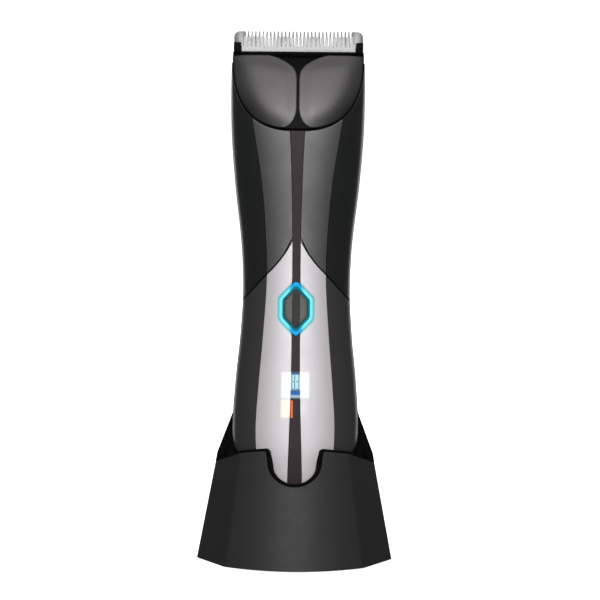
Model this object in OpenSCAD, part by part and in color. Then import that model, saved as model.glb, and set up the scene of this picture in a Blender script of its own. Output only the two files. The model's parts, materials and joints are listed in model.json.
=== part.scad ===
// Body groomer standing in its charging dock.
// Millimetres, +Z up, the front faces -Y, the origin is under the dock's centre.

/* [Groomer body] */
// Half-width of the casing at its waist
waist_half_w = 16.95; // [16.7:0.05:17.2]
// Depth of the waist in front of the side parting line
waist_front = 13.3; // [13.2:0.05:13.5]
// Wall of the casing, panels included
wall_t = 2.4; // [2.2:0.1:2.6]
// Thickness of the inlaid front panels
panel_t = 1.0; // [0.8:0.1:1.2]
// Squareness of the body's cross-section along the grip
grip_power = 2.5; // [2.4:0.1:2.6]
// Squareness of the head's cross-section under the blade
head_power = 5; // [4.5:0.1:5]

/* [Blade head] */
// Half-width of the head's smile-shaped lower edge
arc_half_w = 20.6; // [20.4:0.1:20.6]
// Depth of that edge below its centre
arc_drop = 24.6; // [24:0.1:25]
// Number of teeth on the steel comb
comb_teeth = 28; // [20:2:30]
// Pitch of the steel comb's teeth
comb_pitch = 1.18; // [1:0.02:1.2]
// Number of teeth on the ceramic blade
cutter_teeth = 26; // [20:2:26]
// Pitch of the ceramic blade's teeth
cutter_pitch = 1.35; // [1.2:0.05:1.35]
// Travel of the ceramic blade to each side
cutter_stroke = 1.1; // [0.8:0.1:1.1]

/* [Button] */
// Half-width of the light ring
ring_half_w = 5.25; // [5:0.05:5.4]
// Half-height of the light ring
ring_half_h = 8.75; // [8.4:0.05:9]
// Height of the button's centre
button_z = 81; // [80.5:0.1:81.5]

/* [Dock] */
// Half-width of the dock's foot
dock_half_w = 31.3; // [30.5:0.1:31.5]
// Wall of the dock's shell
dock_wall = 2.2; // [2:0.1:2.4]
// Half-width of the notch in the dock's front
notch_half_w = 8; // [7.5:0.1:8.5]
// Gap between the groomer and its cradle
cradle_gap = 0.6; // [0.5:0.1:0.7]

/* [Hidden] */

// Height of the groomer's flat bottom end above the table
tail_z = 12;
// Height at which the casing ends beside the blade
head_top_z = 160.2;
// Half-depth of the dock's foot
dock_half_d = 24;

// Casing profiles up the body: [height, value]
half_width = [[tail_z, 10.2], [16, 12.4], [24, 14.4], [31, 16.2], [36.5, 19.4], [41, 19.85],
              [58, 18.85], [72, 17.55], [86, waist_half_w], [100, 17.45], [120, 19.65],
              [136, 20.85], [150, 21.05], [head_top_z, 20.8]];
front_depth = [[tail_z, 9.4], [16, 11.6], [24, 14.6], [34, 15.8], [46, 15.8], [66, 14.6],
               [86, waist_front], [104, 13.4], [124, 14.6], [137, 14.8], [146, 13], [154, 9.6],
               [head_top_z, 5.6]];
back_depth = [[tail_z, 9], [16, 11], [24, 13.4], [34, 14.5], [46, 14.5], [66, 13.6], [86, 12.9],
              [104, 13.1], [124, 14.3], [137, 14.4], [148, 12.8], [head_top_z, 8.6]];
section_power = [[tail_z, grip_power], [130, grip_power], [148, 3.2], [head_top_z, head_power]];
// Half-widths of the front panels and of the dark centre strip: [height, value]
panel_half_w = [[20, 5.2], [24, 9], [30, 11.4], [37.5, 12.4], [44, 12.6], [56, 11.9], [72, 10.6],
                [91, 9.4], [101, 9.5], [120, 11], [138, 13.8]];
strip_half_w = [[20, 2.4], [26, 2.3], [60, 1.35], [80, 1.28], [102, 1.28], [125, 1.78], [138, 2.35]];
// The slanting joint between the upper and the lower front: [distance from the centre, height]
vee_line = [[0, 105], [1.4, 102.6], [3.5, 98.6], [6.1, 95], [9.5, 91.4], [17.5, 82.5], [24, 75]];

ring_points = 38;
seam_gap = 0.15;
// The inlaid panels stand clear of the wall under them by this much
panel_gap = 0.15;
body_gap = 0.3;
arc_z = 161;
arc_power = 2.6;
shell_top_z = 159;
cap_top_z = 16;
motor_y = 1;
comb_y = 3.4;
comb_t = 1;
cutter_t = 1.2;
cutter_y = comb_y - 0.1 - cutter_t;
button_flat = 3.2;
button_half_w = 3.5;
button_half_h = 7;
contact_x = 5;
rim_slope = 0.29;
rim_z = 32.1;
cradle_floor_z = 11.2;
rest_z = 34.5;
foot_screw_x = 18.5;
foot_screw_y = 8.5;

// --- curves and outlines ---

function slope(p, i) = (p[i + 1][1] - p[i][1]) / (p[i + 1][0] - p[i][0]);
function tangent(p, i) = i == 0 ? slope(p, 0)
    : i == len(p) - 1 ? slope(p, i - 1)
    : (slope(p, i - 1) + slope(p, i)) / 2;
function span_of(p, u, i = 0) = i >= len(p) - 2 || u < p[i + 1][0] ? i : span_of(p, u, i + 1);
// Smooth curve through the points of p, read at u
function curve(p, u) =
    let (i = span_of(p, u), h = p[i + 1][0] - p[i][0], t = (u - p[i][0]) / h)
    (1 + 2 * t) * pow(1 - t, 2) * p[i][1] + t * pow(1 - t, 2) * h * tangent(p, i)
    + t * t * (3 - 2 * t) * p[i + 1][1] + t * t * (t - 1) * h * tangent(p, i + 1);

function power(v, e) = sign(v) * pow(abs(v), e);
function steps(low, high, size) =
    let (n = ceil((high - low) / size)) [for (i = [0 : n]) low + (high - low) * i / n];
function mirrored(p) = [for (i = [len(p) - 1 : -1 : 0]) [-p[i][0], p[i][1]]];

// One ring of the casing at height z, drawn in by inset
function body_ring(z, inset) = [for (i = [0 : ring_points - 1])
    let (a = 360 * i / ring_points,
         w = curve(half_width, z) - inset,
         e = 2 / curve(section_power, z),
         d = (sin(a) < 0 ? curve(front_depth, z) : curve(back_depth, z)) - inset)
    [w * power(cos(a), e), d * power(sin(a), e), z]];

// Casing as a solid between two heights, drawn in by inset
module body_solid(inset, low = tail_z, high = head_top_z, step = 5) {
    levels = steps(low, high, step);
    n = ring_points;
    points = [for (z = levels) each body_ring(z, inset)];
    faces = concat(
        [[for (i = [0 : n - 1]) i]],
        [[for (i = [n - 1 : -1 : 0]) (len(levels) - 1) * n + i]],
        [for (j = [0 : len(levels) - 2], i = [0 : n - 1]) let (k = (i + 1) % n)
            [j * n + i, (j + 1) * n + i, (j + 1) * n + k]],
        [for (j = [0 : len(levels) - 2], i = [0 : n - 1]) let (k = (i + 1) % n)
            [j * n + i, (j + 1) * n + k, j * n + k]]);
    polyhedron(points, faces, convexity = 6);
}

// An outline in X and Z, extruded from y0 to y1
module front_prism(outline, y0, y1) {
    translate([0, y1, 0]) rotate([90, 0, 0]) linear_extrude(y1 - y0) polygon(outline);
}

// The head's smile-shaped lower edge, moved outwards by grow, closed well above the blade
function arc_points(grow, top = 180) = concat(
    [[-arc_half_w - grow, top]],
    [for (i = [0 : 24]) let (a = 180 + 180 * i / 24)
        [(arc_half_w + grow) * power(cos(a), 2 / arc_power),
         arc_z + (arc_drop + grow) * power(sin(a), 2 / arc_power)]],
    [[arc_half_w + grow, top]]);

// Everything above (+1) or below (-1) the slanting joint, kept gap away from it
function vee_points(gap, side) =
    let (reach = 24, far = side > 0 ? 180 : -2,
         right = [for (x = steps(0, reach, 1.5)) [x, curve(vee_line, x) + gap * side]])
    concat([[-reach, far]], mirrored(right), right, [[reach, far]]);

// Front panel outline between two heights, grown by grow
function panel_points(low, high, grow) =
    let (right = [for (z = steps(low, high, 3)) [curve(panel_half_w, z) + grow, z]])
    concat(mirrored(right), right);
function strip_points(low, high, grow) =
    let (right = [for (z = steps(low, high, 6)) [curve(strip_half_w, z) + grow, z]])
    concat(mirrored(right), right);

// Upright six-sided outline of the button, with softened shoulders and narrow blunt ends
function button_points(half_w, half_h) =
    let (upper = [[half_w, button_flat], [half_w * 0.42, half_h - half_w * 0.42], [0.15, half_h]],
         right = concat([for (i = [2 : -1 : 0]) [upper[i][0], -upper[i][1]]], upper))
    [for (p = concat(right, mirrored(right))) [p[0], button_z + p[1]]];

// Box from its corners
module block(low, high) {
    translate(low) cube(high - low);
}

// Cylinder along Y
module pin_y(r, x, z, y0, y1) {
    translate([x, y1, z]) rotate([90, 0, 0]) cylinder(r = r, h = y1 - y0, $fn = 48);
}

// Cylinder along Z
module pin_z(r, x, y, z0, z1) {
    translate([x, y, z0]) cylinder(r = r, h = z1 - z0, $fn = 48);
}

// Keeps a freeform result as one closed mesh
module as_mesh() {
    resize([0, 0, 0]) children();
}

module mirror_x() {
    children();
    mirror([1, 0, 0]) children();
}

// --- the handle's casing ---

// Casing wall, recessed under the inlaid panels
module casing_wall(low, high, panel_low, panel_high) {
    difference() {
        union() {
            difference() {
                body_solid(0, low, high);
                front_prism(panel_points(panel_low, panel_high, 0), -30, 0);
            }
            body_solid(panel_t, low, high);
        }
        body_solid(wall_t, low - 1, high + 1);
    }
}

module upper_front_shell() {
    color([0.09, 0.10, 0.10]) as_mesh() difference() {
        intersection() {
            casing_wall(80, shell_top_z, 82, 138);
            front_prism(vee_points(seam_gap, 1), -30, -seam_gap);
        }
        front_prism(arc_points(body_gap), -30, 30);
    }
}

module upper_panel(side) {
    intersection() {
        difference() {
            body_solid(0, 85, 138);
            body_solid(panel_t - panel_gap, 84, 139);
            front_prism(arc_points(body_gap), -30, 30);
            front_prism(strip_points(84, 139, seam_gap), -30, 0);
        }
        front_prism(vee_points(seam_gap, 1), -30, 0);
        front_prism(panel_points(85, 138, -seam_gap), -30, 0);
        block([side > 0 ? 0 : -25, -30, 80], [side > 0 ? 25 : 0, 0, 140]);
    }
}

module upper_panel_left() {
    color([0.40, 0.40, 0.41]) as_mesh() upper_panel(-1);
}

module upper_panel_right() {
    color([0.40, 0.40, 0.41]) as_mesh() upper_panel(1);
}

module lower_front_shell() {
    color([0.17, 0.17, 0.18]) as_mesh() difference() {
        intersection() {
            casing_wall(cap_top_z, 104, 20, 104);
            front_prism(vee_points(seam_gap, -1), -30, -seam_gap);
        }
        front_prism(button_points(ring_half_w + 0.1, ring_half_h + 0.1), -30, 0);
    }
}

module silver_panel(side) {
    intersection() {
        difference() {
            body_solid(0, 20, 103);
            body_solid(panel_t - panel_gap, 19, 104);
            front_prism(strip_points(20, 106, seam_gap), -30, 0);
            front_prism(button_points(ring_half_w + 0.1, ring_half_h + 0.1), -30, 0);
        }
        front_prism(vee_points(seam_gap, -1), -30, 0);
        front_prism(panel_points(20, 103, -seam_gap), -30, 0);
        block([side > 0 ? 0 : -25, -30, 10], [side > 0 ? 25 : 0, 0, 110]);
    }
}

module silver_panel_left() {
    color([0.83, 0.81, 0.83]) as_mesh() silver_panel(-1);
}

module silver_panel_right() {
    color([0.83, 0.81, 0.83]) as_mesh() silver_panel(1);
}

module centre_strip() {
    color([0.20, 0.19, 0.20]) as_mesh() intersection() {
        difference() {
            body_solid(0, 20, 138);
            body_solid(panel_t - panel_gap, 19, 139);
            front_prism(arc_points(body_gap), -30, 30);
            front_prism(button_points(ring_half_w + 0.13, ring_half_h + 0.13), -30, 1);
        }
        front_prism(strip_points(20.5, 137.9, 0), -29, -1);
    }
}

module back_shell() {
    color([0.11, 0.11, 0.12]) as_mesh() difference() {
        intersection() {
            difference() {
                body_solid(0, cap_top_z, shell_top_z);
                body_solid(wall_t, cap_top_z - 1, shell_top_z + 1);
            }
            block([-30, 0, 0], [30, 30, 170]);
        }
        front_prism(arc_points(body_gap), -30, 30);
    }
}

module bottom_cap() {
    color([0.10, 0.10, 0.11]) difference() {
        union() {
            body_solid(0, tail_z, cap_top_z - seam_gap, 2);
            body_solid(wall_t + 0.2, cap_top_z - 1, cap_top_z + 2, 2);
        }
        mirror_x() pin_z(1.5, contact_x, 0, tail_z - 1, cap_top_z + 3);
    }
}

module charge_contacts() {
    color([0.80, 0.72, 0.45]) mirror_x() {
        pin_z(1.5, contact_x, 0, tail_z, cap_top_z + 2);
        pin_z(2.3, contact_x, 0, cap_top_z + 2, cap_top_z + 2.8);
    }
}

// --- button, light ring and electronics ---

module light_ring() {
    color([0.35, 0.90, 0.95]) as_mesh() intersection() {
        difference() {
            body_solid(-0.25, 70, 92, 4);
            body_solid(wall_t, 69, 93, 4);
        }
        difference() {
            front_prism(button_points(ring_half_w, ring_half_h), -30, 0);
            front_prism(button_points(4.2, 7.85), -31, 1);
        }
    }
}

module button_seal() {
    color([0.05, 0.05, 0.05]) as_mesh() intersection() {
        difference() {
            body_solid(0.6, 70, 92, 4);
            body_solid(wall_t, 69, 93, 4);
        }
        difference() {
            front_prism(button_points(4.2, 7.85), -30, 0);
            front_prism(button_points(button_half_w + 0.32, button_half_h + 0.4), -31, 1);
        }
    }
}

module power_button() {
    color([0.36, 0.36, 0.36]) as_mesh() {
        intersection() {
            difference() {
                body_solid(-0.1, 72, 90, 4);
                body_solid(1.4, 71, 91, 4);
            }
            front_prism(button_points(button_half_w, button_half_h), -30, 0);
        }
        pin_y(1.4, 0, button_z, -12.6, -11.9);
    }
}

module main_circuit_board() {
    color([0.05, 0.35, 0.20]) difference() {
        block([-8.5, -8.2, 34], [8.5, -7, 97]);
        for (z = [38, 93], x = [-6.5, 6.5]) pin_y(1.1, x, z, -9, -6);
    }
}

module tact_switch() {
    color([0.75, 0.75, 0.72]) {
        block([-3, -10, button_z - 3], [3, -8.2, button_z + 3]);
        pin_y(1.6, 0, button_z, -10.6, -10);
    }
}

module display_module() {
    color([0.92, 0.94, 0.96]) {
        block([-4.6, -10.4, 53.3], [4.6, -8.2, 61.7]);
        block([-4.6, -10.4, 46.8], [-0.6, -8.2, 52.7]);
    }
}

module battery_cell() {
    color([0.20, 0.40, 0.62]) {
        pin_z(7, 0, 3.2, 33, 81);
        pin_z(2.6, 0, 3.2, 81, 82);
    }
}

module battery_tabs() {
    color([0.75, 0.76, 0.78]) {
        block([-2.5, -0.5, 82], [2.5, 5.2, 82.2]);
        block([-2.5, -4.2, 80.2], [2.5, -4, 82.2]);
        block([-2.5, -4.2, 82], [2.5, -0.5, 82.2]);
        block([-2.5, -4.2, 32.8], [2.5, 5.2, 33]);
    }
}

module inner_chassis() {
    color([0.22, 0.22, 0.24]) {
        difference() {
            block([-10, -5.7, 28], [10, -4.4, 99.5]);
            for (z = [38, 93], x = [-6.5, 6.5]) pin_y(0.9, x, z, -8, -4);
        }
        for (z = [38, 93], x = [-6.5, 6.5]) difference() {
            pin_y(2, x, z, -7, -5.7);
            pin_y(0.9, x, z, -8, -5);
        }
        mirror_x() block([8.5, -4.4, 28], [10, 2, 96]);
        difference() {
            block([-10.6, -5.7, 96], [10.6, 7, 99.5]);
            pin_z(4, 0, motor_y, 95, 100);
        }
        block([-10, -5.7, 28], [10, 6, 30]);
        mirror_x() for (z = [50, 92]) screw_post(10.9, z);
    }
}

// Post beside the battery that a casing screw goes into
module screw_post(x, z) {
    difference() {
        union() {
            block([9.9, -4.4, z - 2.2], [x, 2, z + 2.2]);
            pin_y(2.2, x, z, -4.4, 4);
        }
        pin_y(0.9, x, z, -1, 5);
    }
}

module case_screws() {
    color([0.70, 0.70, 0.72]) mirror_x() for (z = [50, 92]) {
        pin_y(0.9, 10.9, z, -0.5, 4);
        pin_y(1.9, 10.9, z, 4, 5.2);
    }
}

// --- drive ---

module motor_body() {
    color([0.72, 0.73, 0.75]) difference() {
        union() {
            pin_z(9, 0, motor_y, 99.5, 126.5);
            pin_z(3, 0, motor_y, 126.5, 128.5);
        }
        pin_z(1.05, 0, motor_y, 113, 129);
        mirror_x() pin_z(0.8, 6, motor_y, 122, 127);
    }
}

module motor_mount() {
    color([0.20, 0.20, 0.22]) difference() {
        union() {
            pin_z(11.4, 0, motor_y - 0.6, 126.5, 129);
            block([-17, -4, 126.5], [17, 5, 129]);
        }
        pin_z(3.02, 0, motor_y, 126, 130);
        mirror_x() pin_z(0.9, 6, motor_y, 126, 130);
    }
}

module mount_screws() {
    color([0.70, 0.70, 0.72]) mirror_x() {
        pin_z(0.8, 6, motor_y, 122, 129);
        pin_z(1.6, 6, motor_y, 129, 130);
    }
}

module drive_rotor() {
    color([0.80, 0.81, 0.83]) {
        pin_z(1, 0, motor_y, 113.5, 130.4);
        pin_z(3.6, 0, motor_y, 130.4, 133.2);
        pin_z(1, cutter_stroke, motor_y, 133.2, 142);
    }
}

module neck_plate() {
    color([0.12, 0.12, 0.13]) as_mesh() difference() {
        intersection() {
            body_solid(wall_t + 0.05, 130, 158);
            front_prism(arc_points(body_gap + 2), -30, 30);
        }
        front_prism(arc_points(body_gap), -30, 30);
        pin_z(3.2, 0, motor_y, 130, 140);
        pin_z(4.7, 0, motor_y, 134.6, 140);
    }
}

module neck_seal() {
    color([0.06, 0.06, 0.06]) translate([0, motor_y, 134.6]) rotate_extrude($fn = 64)
        polygon([[3, 0], [4.6, 0], [4.6, 1.2], [3.4, 1.2]]);
}

// --- blade head ---

module head_shell() {
    color([0.05, 0.05, 0.06]) as_mesh() difference() {
        intersection() {
            union() {
                body_solid(0.8, 134, head_top_z, 4);
                intersection() {
                    body_solid(0, 134, head_top_z, 4);
                    block([-30, -0.5, 130], [30, 30, 165]);
                }
            }
            front_prism(arc_points(0), -30, 30);
        }
        intersection() {
            body_solid(2.6, 133, head_top_z + 0.01, 4);
            front_prism(arc_points(-2), -30, 30);
        }
        pin_z(6.8, 0, motor_y, 130, 142);
    }
}

// One of the head's two raised lobes; the gap between them flares at both ends
function lobe_points() =
    let (top = [for (i = [0 : 6]) let (a = 15 * i) [9.4 - 9 * sin(a), 153.6 + 6.4 * cos(a)]],
         low = [for (i = [0 : 6]) let (a = 15 * i) [5.2 - 4.8 * cos(a), 143.4 - 6.6 * sin(a)]])
    concat(top, low, [[5.2, 130], [24, 130], [24, 160]]);

module lobe() {
    intersection() {
        difference() {
            body_solid(0, 134, head_top_z - 0.2, 4);
            body_solid(0.65, 133, head_top_z, 4);
        }
        front_prism(arc_points(-0.5), -30, -1);
        front_prism(lobe_points(), -30, 0);
    }
}

module lobe_left() {
    color([0.42, 0.42, 0.43]) as_mesh() mirror([1, 0, 0]) lobe();
}

module lobe_right() {
    color([0.42, 0.42, 0.43]) as_mesh() lobe();
}

module blade_frame() {
    color([0.04, 0.04, 0.04]) {
        // band over the head's mouth, with the slot that the blades stand in
        difference() {
            translate([0, 0, head_top_z + 0.05]) linear_extrude(0.85)
                polygon([for (p = body_ring(head_top_z, 0.2)) [p[0], p[1]]]);
            block([-19.4, 1.9, 160], [19.4, 4.5, 162]);
            block([-4.5, -1.2, 160], [4.5, 2.5, 162]);
        }
        // plate behind the steel comb
        difference() {
            block([-13.4, 4.5, 146], [13.4, 5.5, 160.6]);
            mirror_x() pin_y(1, 11, 151.5, 4, 7);
        }
        block([-20.2, 4.5, 161.1], [20.2, 5.9, 163.4]);
        mirror_x() {
            block([18.15, -0.6, 161.1], [20.4, 1.9, 164.3]);
            block([19.45, 1.9, 161.1], [20.4, 4.5, 164.3]);
        }
    }
}

// Right half of the steel comb's outline after its first corner, from the middle outwards
function comb_outline() =
    let (half = comb_teeth / 2, root = 162.4, tip = 168,
         teeth = [for (i = [0 : half - 1]) let (x = (i + 0.5) * comb_pitch) each [
             [x - 0.36, root], [x - 0.14, tip], [x + 0.14, tip], [x + 0.36, root]]],
         corner = [for (i = [0 : 6]) let (a = 90 - 15 * i) [18.6 + 1.8 * cos(a), 166.3 + 1.8 * sin(a)]])
    concat(teeth, [[half * comb_pitch + 0.2, root], [half * comb_pitch + 0.2, 168.1]], corner,
           [[20.4, 164.4], [19.3, 164.4], [19.3, 161.3], [16.7, 161.3], [16.7, 149.6], [0, 149.6]]);

module fixed_blade() {
    color([0.78, 0.79, 0.80]) difference() {
        mirror_x() front_prism(concat([[0, 162.4]], comb_outline()), comb_y, comb_y + comb_t);
        mirror_x() pin_y(1, 11, 151.5, comb_y - 1, comb_y + comb_t + 1);
    }
}

module blade_screws() {
    color([0.70, 0.71, 0.73]) mirror_x() {
        pin_y(1, 11, 151.5, comb_y, 5.5);
        pin_y(1.9, 11, 151.5, comb_y - 1, comb_y);
    }
}

module blade_spring() {
    color([0.66, 0.67, 0.69]) {
        block([-9, 4, 146.5], [9, 4.5, 149]);
        mirror_x() {
            block([6.5, 1.2, 147], [8.5, 4.2, 147.5]);
            block([6.5, 1.2, 147], [8.5, 1.5, 158]);
            block([6.5, 1.2, 157], [8.5, 1.8, 158]);
        }
    }
}

function cutter_outline() =
    let (half = cutter_teeth / 2, root = 163.1, tip = 166.4,
         teeth = [for (i = [-half : half - 1]) let (x = (i + 0.5) * cutter_pitch) each [
             [x - 0.5, root], [x - 0.3, tip], [x + 0.3, tip], [x + 0.5, root]]])
    concat([[-16.2, 155], [-16.2, 161.3], [-18, 161.3], [-18, root]], teeth,
           [[18, root], [18, 161.3], [16.2, 161.3], [16.2, 155]]);

module moving_blade() {
    color([0.92, 0.92, 0.93]) front_prism(cutter_outline(), cutter_y, cutter_y + cutter_t);
}

module drive_follower() {
    slot_x = 2 * cutter_stroke + 1.4;
    color([0.85, 0.85, 0.82]) {
        difference() {
            block([-5.5, -3.2, 139.2], [5.5, 5.2, 142.6]);
            block([-slot_x, motor_y - 2.6, 138], [slot_x, motor_y + 2.6, 144]);
        }
        block([-2.5, -3.2, 142.6], [2.5, -1.9, 144.6]);
        block([-2.5, -3.2, 143.4], [2.5, cutter_y, 144.6]);
        block([-2.5, 0.6, 144.6], [2.5, cutter_y, 158]);
    }
}

// --- dock ---

// Plan outline of the dock: curved front, side facets and a slightly curved back
function dock_outline(side_w, side_y, front_w, corner_y, front_y, back_w, back_corner_y, back_y) =
    let (front = [for (i = [-4 : 4]) let (t = i / 4)
             [front_w * t, front_y + (corner_y - front_y) * t * t]],
         back = [for (i = [2 : -1 : -2]) let (t = i / 2)
             [back_w * t, back_y + (back_corner_y - back_y) * t * t]])
    concat([[-side_w, side_y]], front, [[side_w, side_y]], back);

module slab(outline, z, t = 0.01) {
    translate([0, 0, z]) linear_extrude(t) polygon(outline);
}

// Outer body of the dock below the back rest, drawn in by inset
module dock_body(inset) {
    hull() {
        slab(dock_outline(dock_half_w - inset, 1, 21.7 - inset * 0.7, -16 + inset,
                          -dock_half_d + inset, 23 - inset * 0.7, 20 - inset, dock_half_d - inset), 0.5);
        slab(dock_outline(23.8 - inset, 1, 16.7 - inset * 0.7, -14.8 + inset,
                          -20.4 + inset, 18 - inset * 0.7, 17.2 - inset, 20.2 - inset), 40);
    }
}

// Space above the sloping rim
module above_rim(drop) {
    translate([-40, 0, 0]) rotate([90, 0, 90]) linear_extrude(80)
        polygon([[-40, rim_z + 40 * rim_slope - drop], [30, rim_z - 30 * rim_slope - drop],
                 [30, 90], [-40, 90]]);
}

function notch_points() = concat(
    [[-notch_half_w - 2, 45], [-notch_half_w - 1.4, 38.2]],
    [for (i = [0 : 16]) let (a = 180 + 180 * i / 16)
        [notch_half_w * cos(a), 34 + 7.2 * sin(a)]],
    [[notch_half_w + 1.4, 38.2], [notch_half_w + 2, 45]]);

// Space that the groomer's lower end fits, with a gap all round
module cradle_space(gap) {
    body_solid(-gap, cradle_floor_z, 64, 6);
}

// Rest that leans against the groomer's back
module back_rest() {
    hull() {
        slab([[-24.75, 1], [24.75, 1], [18.65, 17.5], [0, 20.6], [-18.65, 17.5]], rest_z - 0.4);
        slab([[-15.4, 14.2], [15.4, 14.2], [11.5, 18], [0, 19.2], [-11.5, 18]], 59);
    }
}

module dock_shell() {
    color([0.16, 0.16, 0.17]) as_mesh() difference() {
        union() {
            difference() {
                dock_body(0);
                intersection() {
                    above_rim(0);
                    block([-40, -40, 0], [40, 1, 60]);
                }
                block([-40, 0, rest_z], [40, 40, 60]);
            }
            back_rest();
        }
        difference() {
            translate([0, 0, -1]) dock_body(dock_wall);
            foot_bosses();
            block([-40, 1.6, rest_z - 2.5], [40, 40, 60]);
        }
        cradle_space(cradle_gap + 0.2);
        intersection() {
            cradle_space(cradle_gap + 2.3);
            block([-40, -40, 0], [40, 40, rest_z - 2.5]);
        }
        front_prism(notch_points(), -30, 0);
        block([-4.8, 10, 5.4], [4.8, 30, 9.4]);
        for (x = [-1, 1], y = [-1, 1]) pin_z(0.9, x * foot_screw_x, y * foot_screw_y, 0, 10);
    }
}

// Four posts inside the dock's shell that its foot is screwed to
module foot_bosses() {
    for (x = [-1, 1], y = [-1, 1]) {
        pin_z(2.4, x * foot_screw_x, y * foot_screw_y, 3.2, 12);
        block([min(x * foot_screw_x, x * 27), y * foot_screw_y - 0.8, 3.2],
              [max(x * foot_screw_x, x * 27), y * foot_screw_y + 0.8, 12]);
    }
}

module cradle_insert() {
    color([0.04, 0.04, 0.05]) as_mesh() difference() {
        union() {
            intersection() {
                body_solid(-cradle_gap - 1.8, cradle_floor_z - 1.8, 64, 6);
                dock_body(dock_wall + 0.5);
                difference() {
                    block([-40, -40, 0], [40, 40, 58]);
                    above_rim(1.2);
                }
            }
            difference() {
                dock_body(dock_wall + 0.5);
                above_rim(2);
                translate([0, 0, -2]) difference() {
                    block([-40, -40, 0], [40, 40, 60]);
                    above_rim(2);
                }
            }
        }
        cradle_space(cradle_gap);
        front_prism(notch_points(), -30, 0);
        mirror_x() pin_z(1.5, contact_x, 0, 5, 15);
    }
}

module base_plate() {
    color([0.12, 0.12, 0.13]) difference() {
        slab(dock_outline(dock_half_w - 3.2, 1, 19.3, -13.4, -21, 20.6, 17.2, 21), 1.2, 2);
        for (x = [-1, 1], y = [-1, 1]) pin_z(1.1, x * foot_screw_x, y * foot_screw_y, 0, 5);
    }
}

module anti_slip_pad() {
    color([0.07, 0.07, 0.07]) difference() {
        slab(dock_outline(dock_half_w - 3.6, 1, 19.4, -13.2, -20.2, 20.6, 16.8, 20.2), 0, 1.2);
        for (x = [-1, 1], y = [-1, 1]) pin_z(2.2, x * foot_screw_x, y * foot_screw_y, -1, 2);
    }
}

module base_screws() {
    color([0.70, 0.70, 0.72]) for (x = [-1, 1], y = [-1, 1]) {
        pin_z(2, x * foot_screw_x, y * foot_screw_y, 0.3, 1.2);
        pin_z(0.9, x * foot_screw_x, y * foot_screw_y, 1.2, 9);
    }
}

module dock_circuit_board() {
    color([0.05, 0.35, 0.20]) {
        block([-14, -6, 3.8], [14, 19, 5]);
        for (x = [-12, 12], y = [-4, 16]) pin_z(1.6, x, y, 3.2, 3.8);
    }
}

module usb_socket() {
    color([0.78, 0.79, 0.80]) difference() {
        socket_box(4.3, 1.5, 14, 21.4);
        socket_box(3.9, 1.1, 15.5, 22);
    }
    color([0.1, 0.1, 0.1]) block([-2.9, 14.5, 7.1], [2.9, 20.6, 7.7]);
}

// Rounded socket section around the height of the board's top
module socket_box(half_w, half_h, y0, y1) {
    z = 6.6 + 0.8;
    mirror_x() pin_y(half_h, half_w - half_h, z, y0, y1);
    block([half_h - half_w, y0, z - half_h], [half_w - half_h, y1, z + half_h]);
}

module contact_block() {
    color([0.08, 0.08, 0.08]) difference() {
        block([-8, -3.5, 5], [8, 3.5, 9.2]);
        mirror_x() pin_z(2.1, contact_x, 0, 5.8, 10);
    }
}

module contact_pin() {
    pin_z(1.2, contact_x, 0, 7.4, 11.7);
    pin_z(2.03, contact_x, 0, 7.4, 8);
}

module contact_pin_left() {
    color([0.85, 0.70, 0.35]) mirror([1, 0, 0]) contact_pin();
}

module contact_pin_right() {
    color([0.85, 0.70, 0.35]) contact_pin();
}

// Stack of three rings standing for the coil under a contact pin
module contact_spring() {
    translate([contact_x, 0, 5.8]) rotate_extrude($fn = 48)
        polygon([[1.3, 0], [1.7, 0], [1.7, 1.6], [1.3, 1.6]]);
}

module contact_spring_left() {
    color([0.70, 0.71, 0.73]) mirror([1, 0, 0]) contact_spring();
}

module contact_spring_right() {
    color([0.70, 0.71, 0.73]) contact_spring();
}

dock_shell();
cradle_insert();
base_plate();
anti_slip_pad();
base_screws();
dock_circuit_board();
usb_socket();
contact_block();
contact_pin_left();
contact_pin_right();
contact_spring_left();
contact_spring_right();
upper_front_shell();
upper_panel_left();
upper_panel_right();
lower_front_shell();
silver_panel_left();
silver_panel_right();
centre_strip();
back_shell();
bottom_cap();
charge_contacts();
light_ring();
button_seal();
power_button();
main_circuit_board();
tact_switch();
display_module();
battery_cell();
battery_tabs();
inner_chassis();
case_screws();
motor_body();
motor_mount();
mount_screws();
drive_rotor();
neck_plate();
neck_seal();
head_shell();
lobe_left();
lobe_right();
blade_frame();
fixed_blade();
blade_screws();
blade_spring();
moving_blade();
drive_follower();
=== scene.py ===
"""Looks of the body groomer in its charging dock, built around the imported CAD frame.

Outlines and heights are in millimetres in the CAD frame: +Z up, the front faces -Y.
Meshes are made in metres.
"""

import json
import math
from itertools import product

import bmesh
import bpy
import numpy as np
from mathutils import Matrix, Vector
from mathutils.geometry import tessellate_polygon


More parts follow.
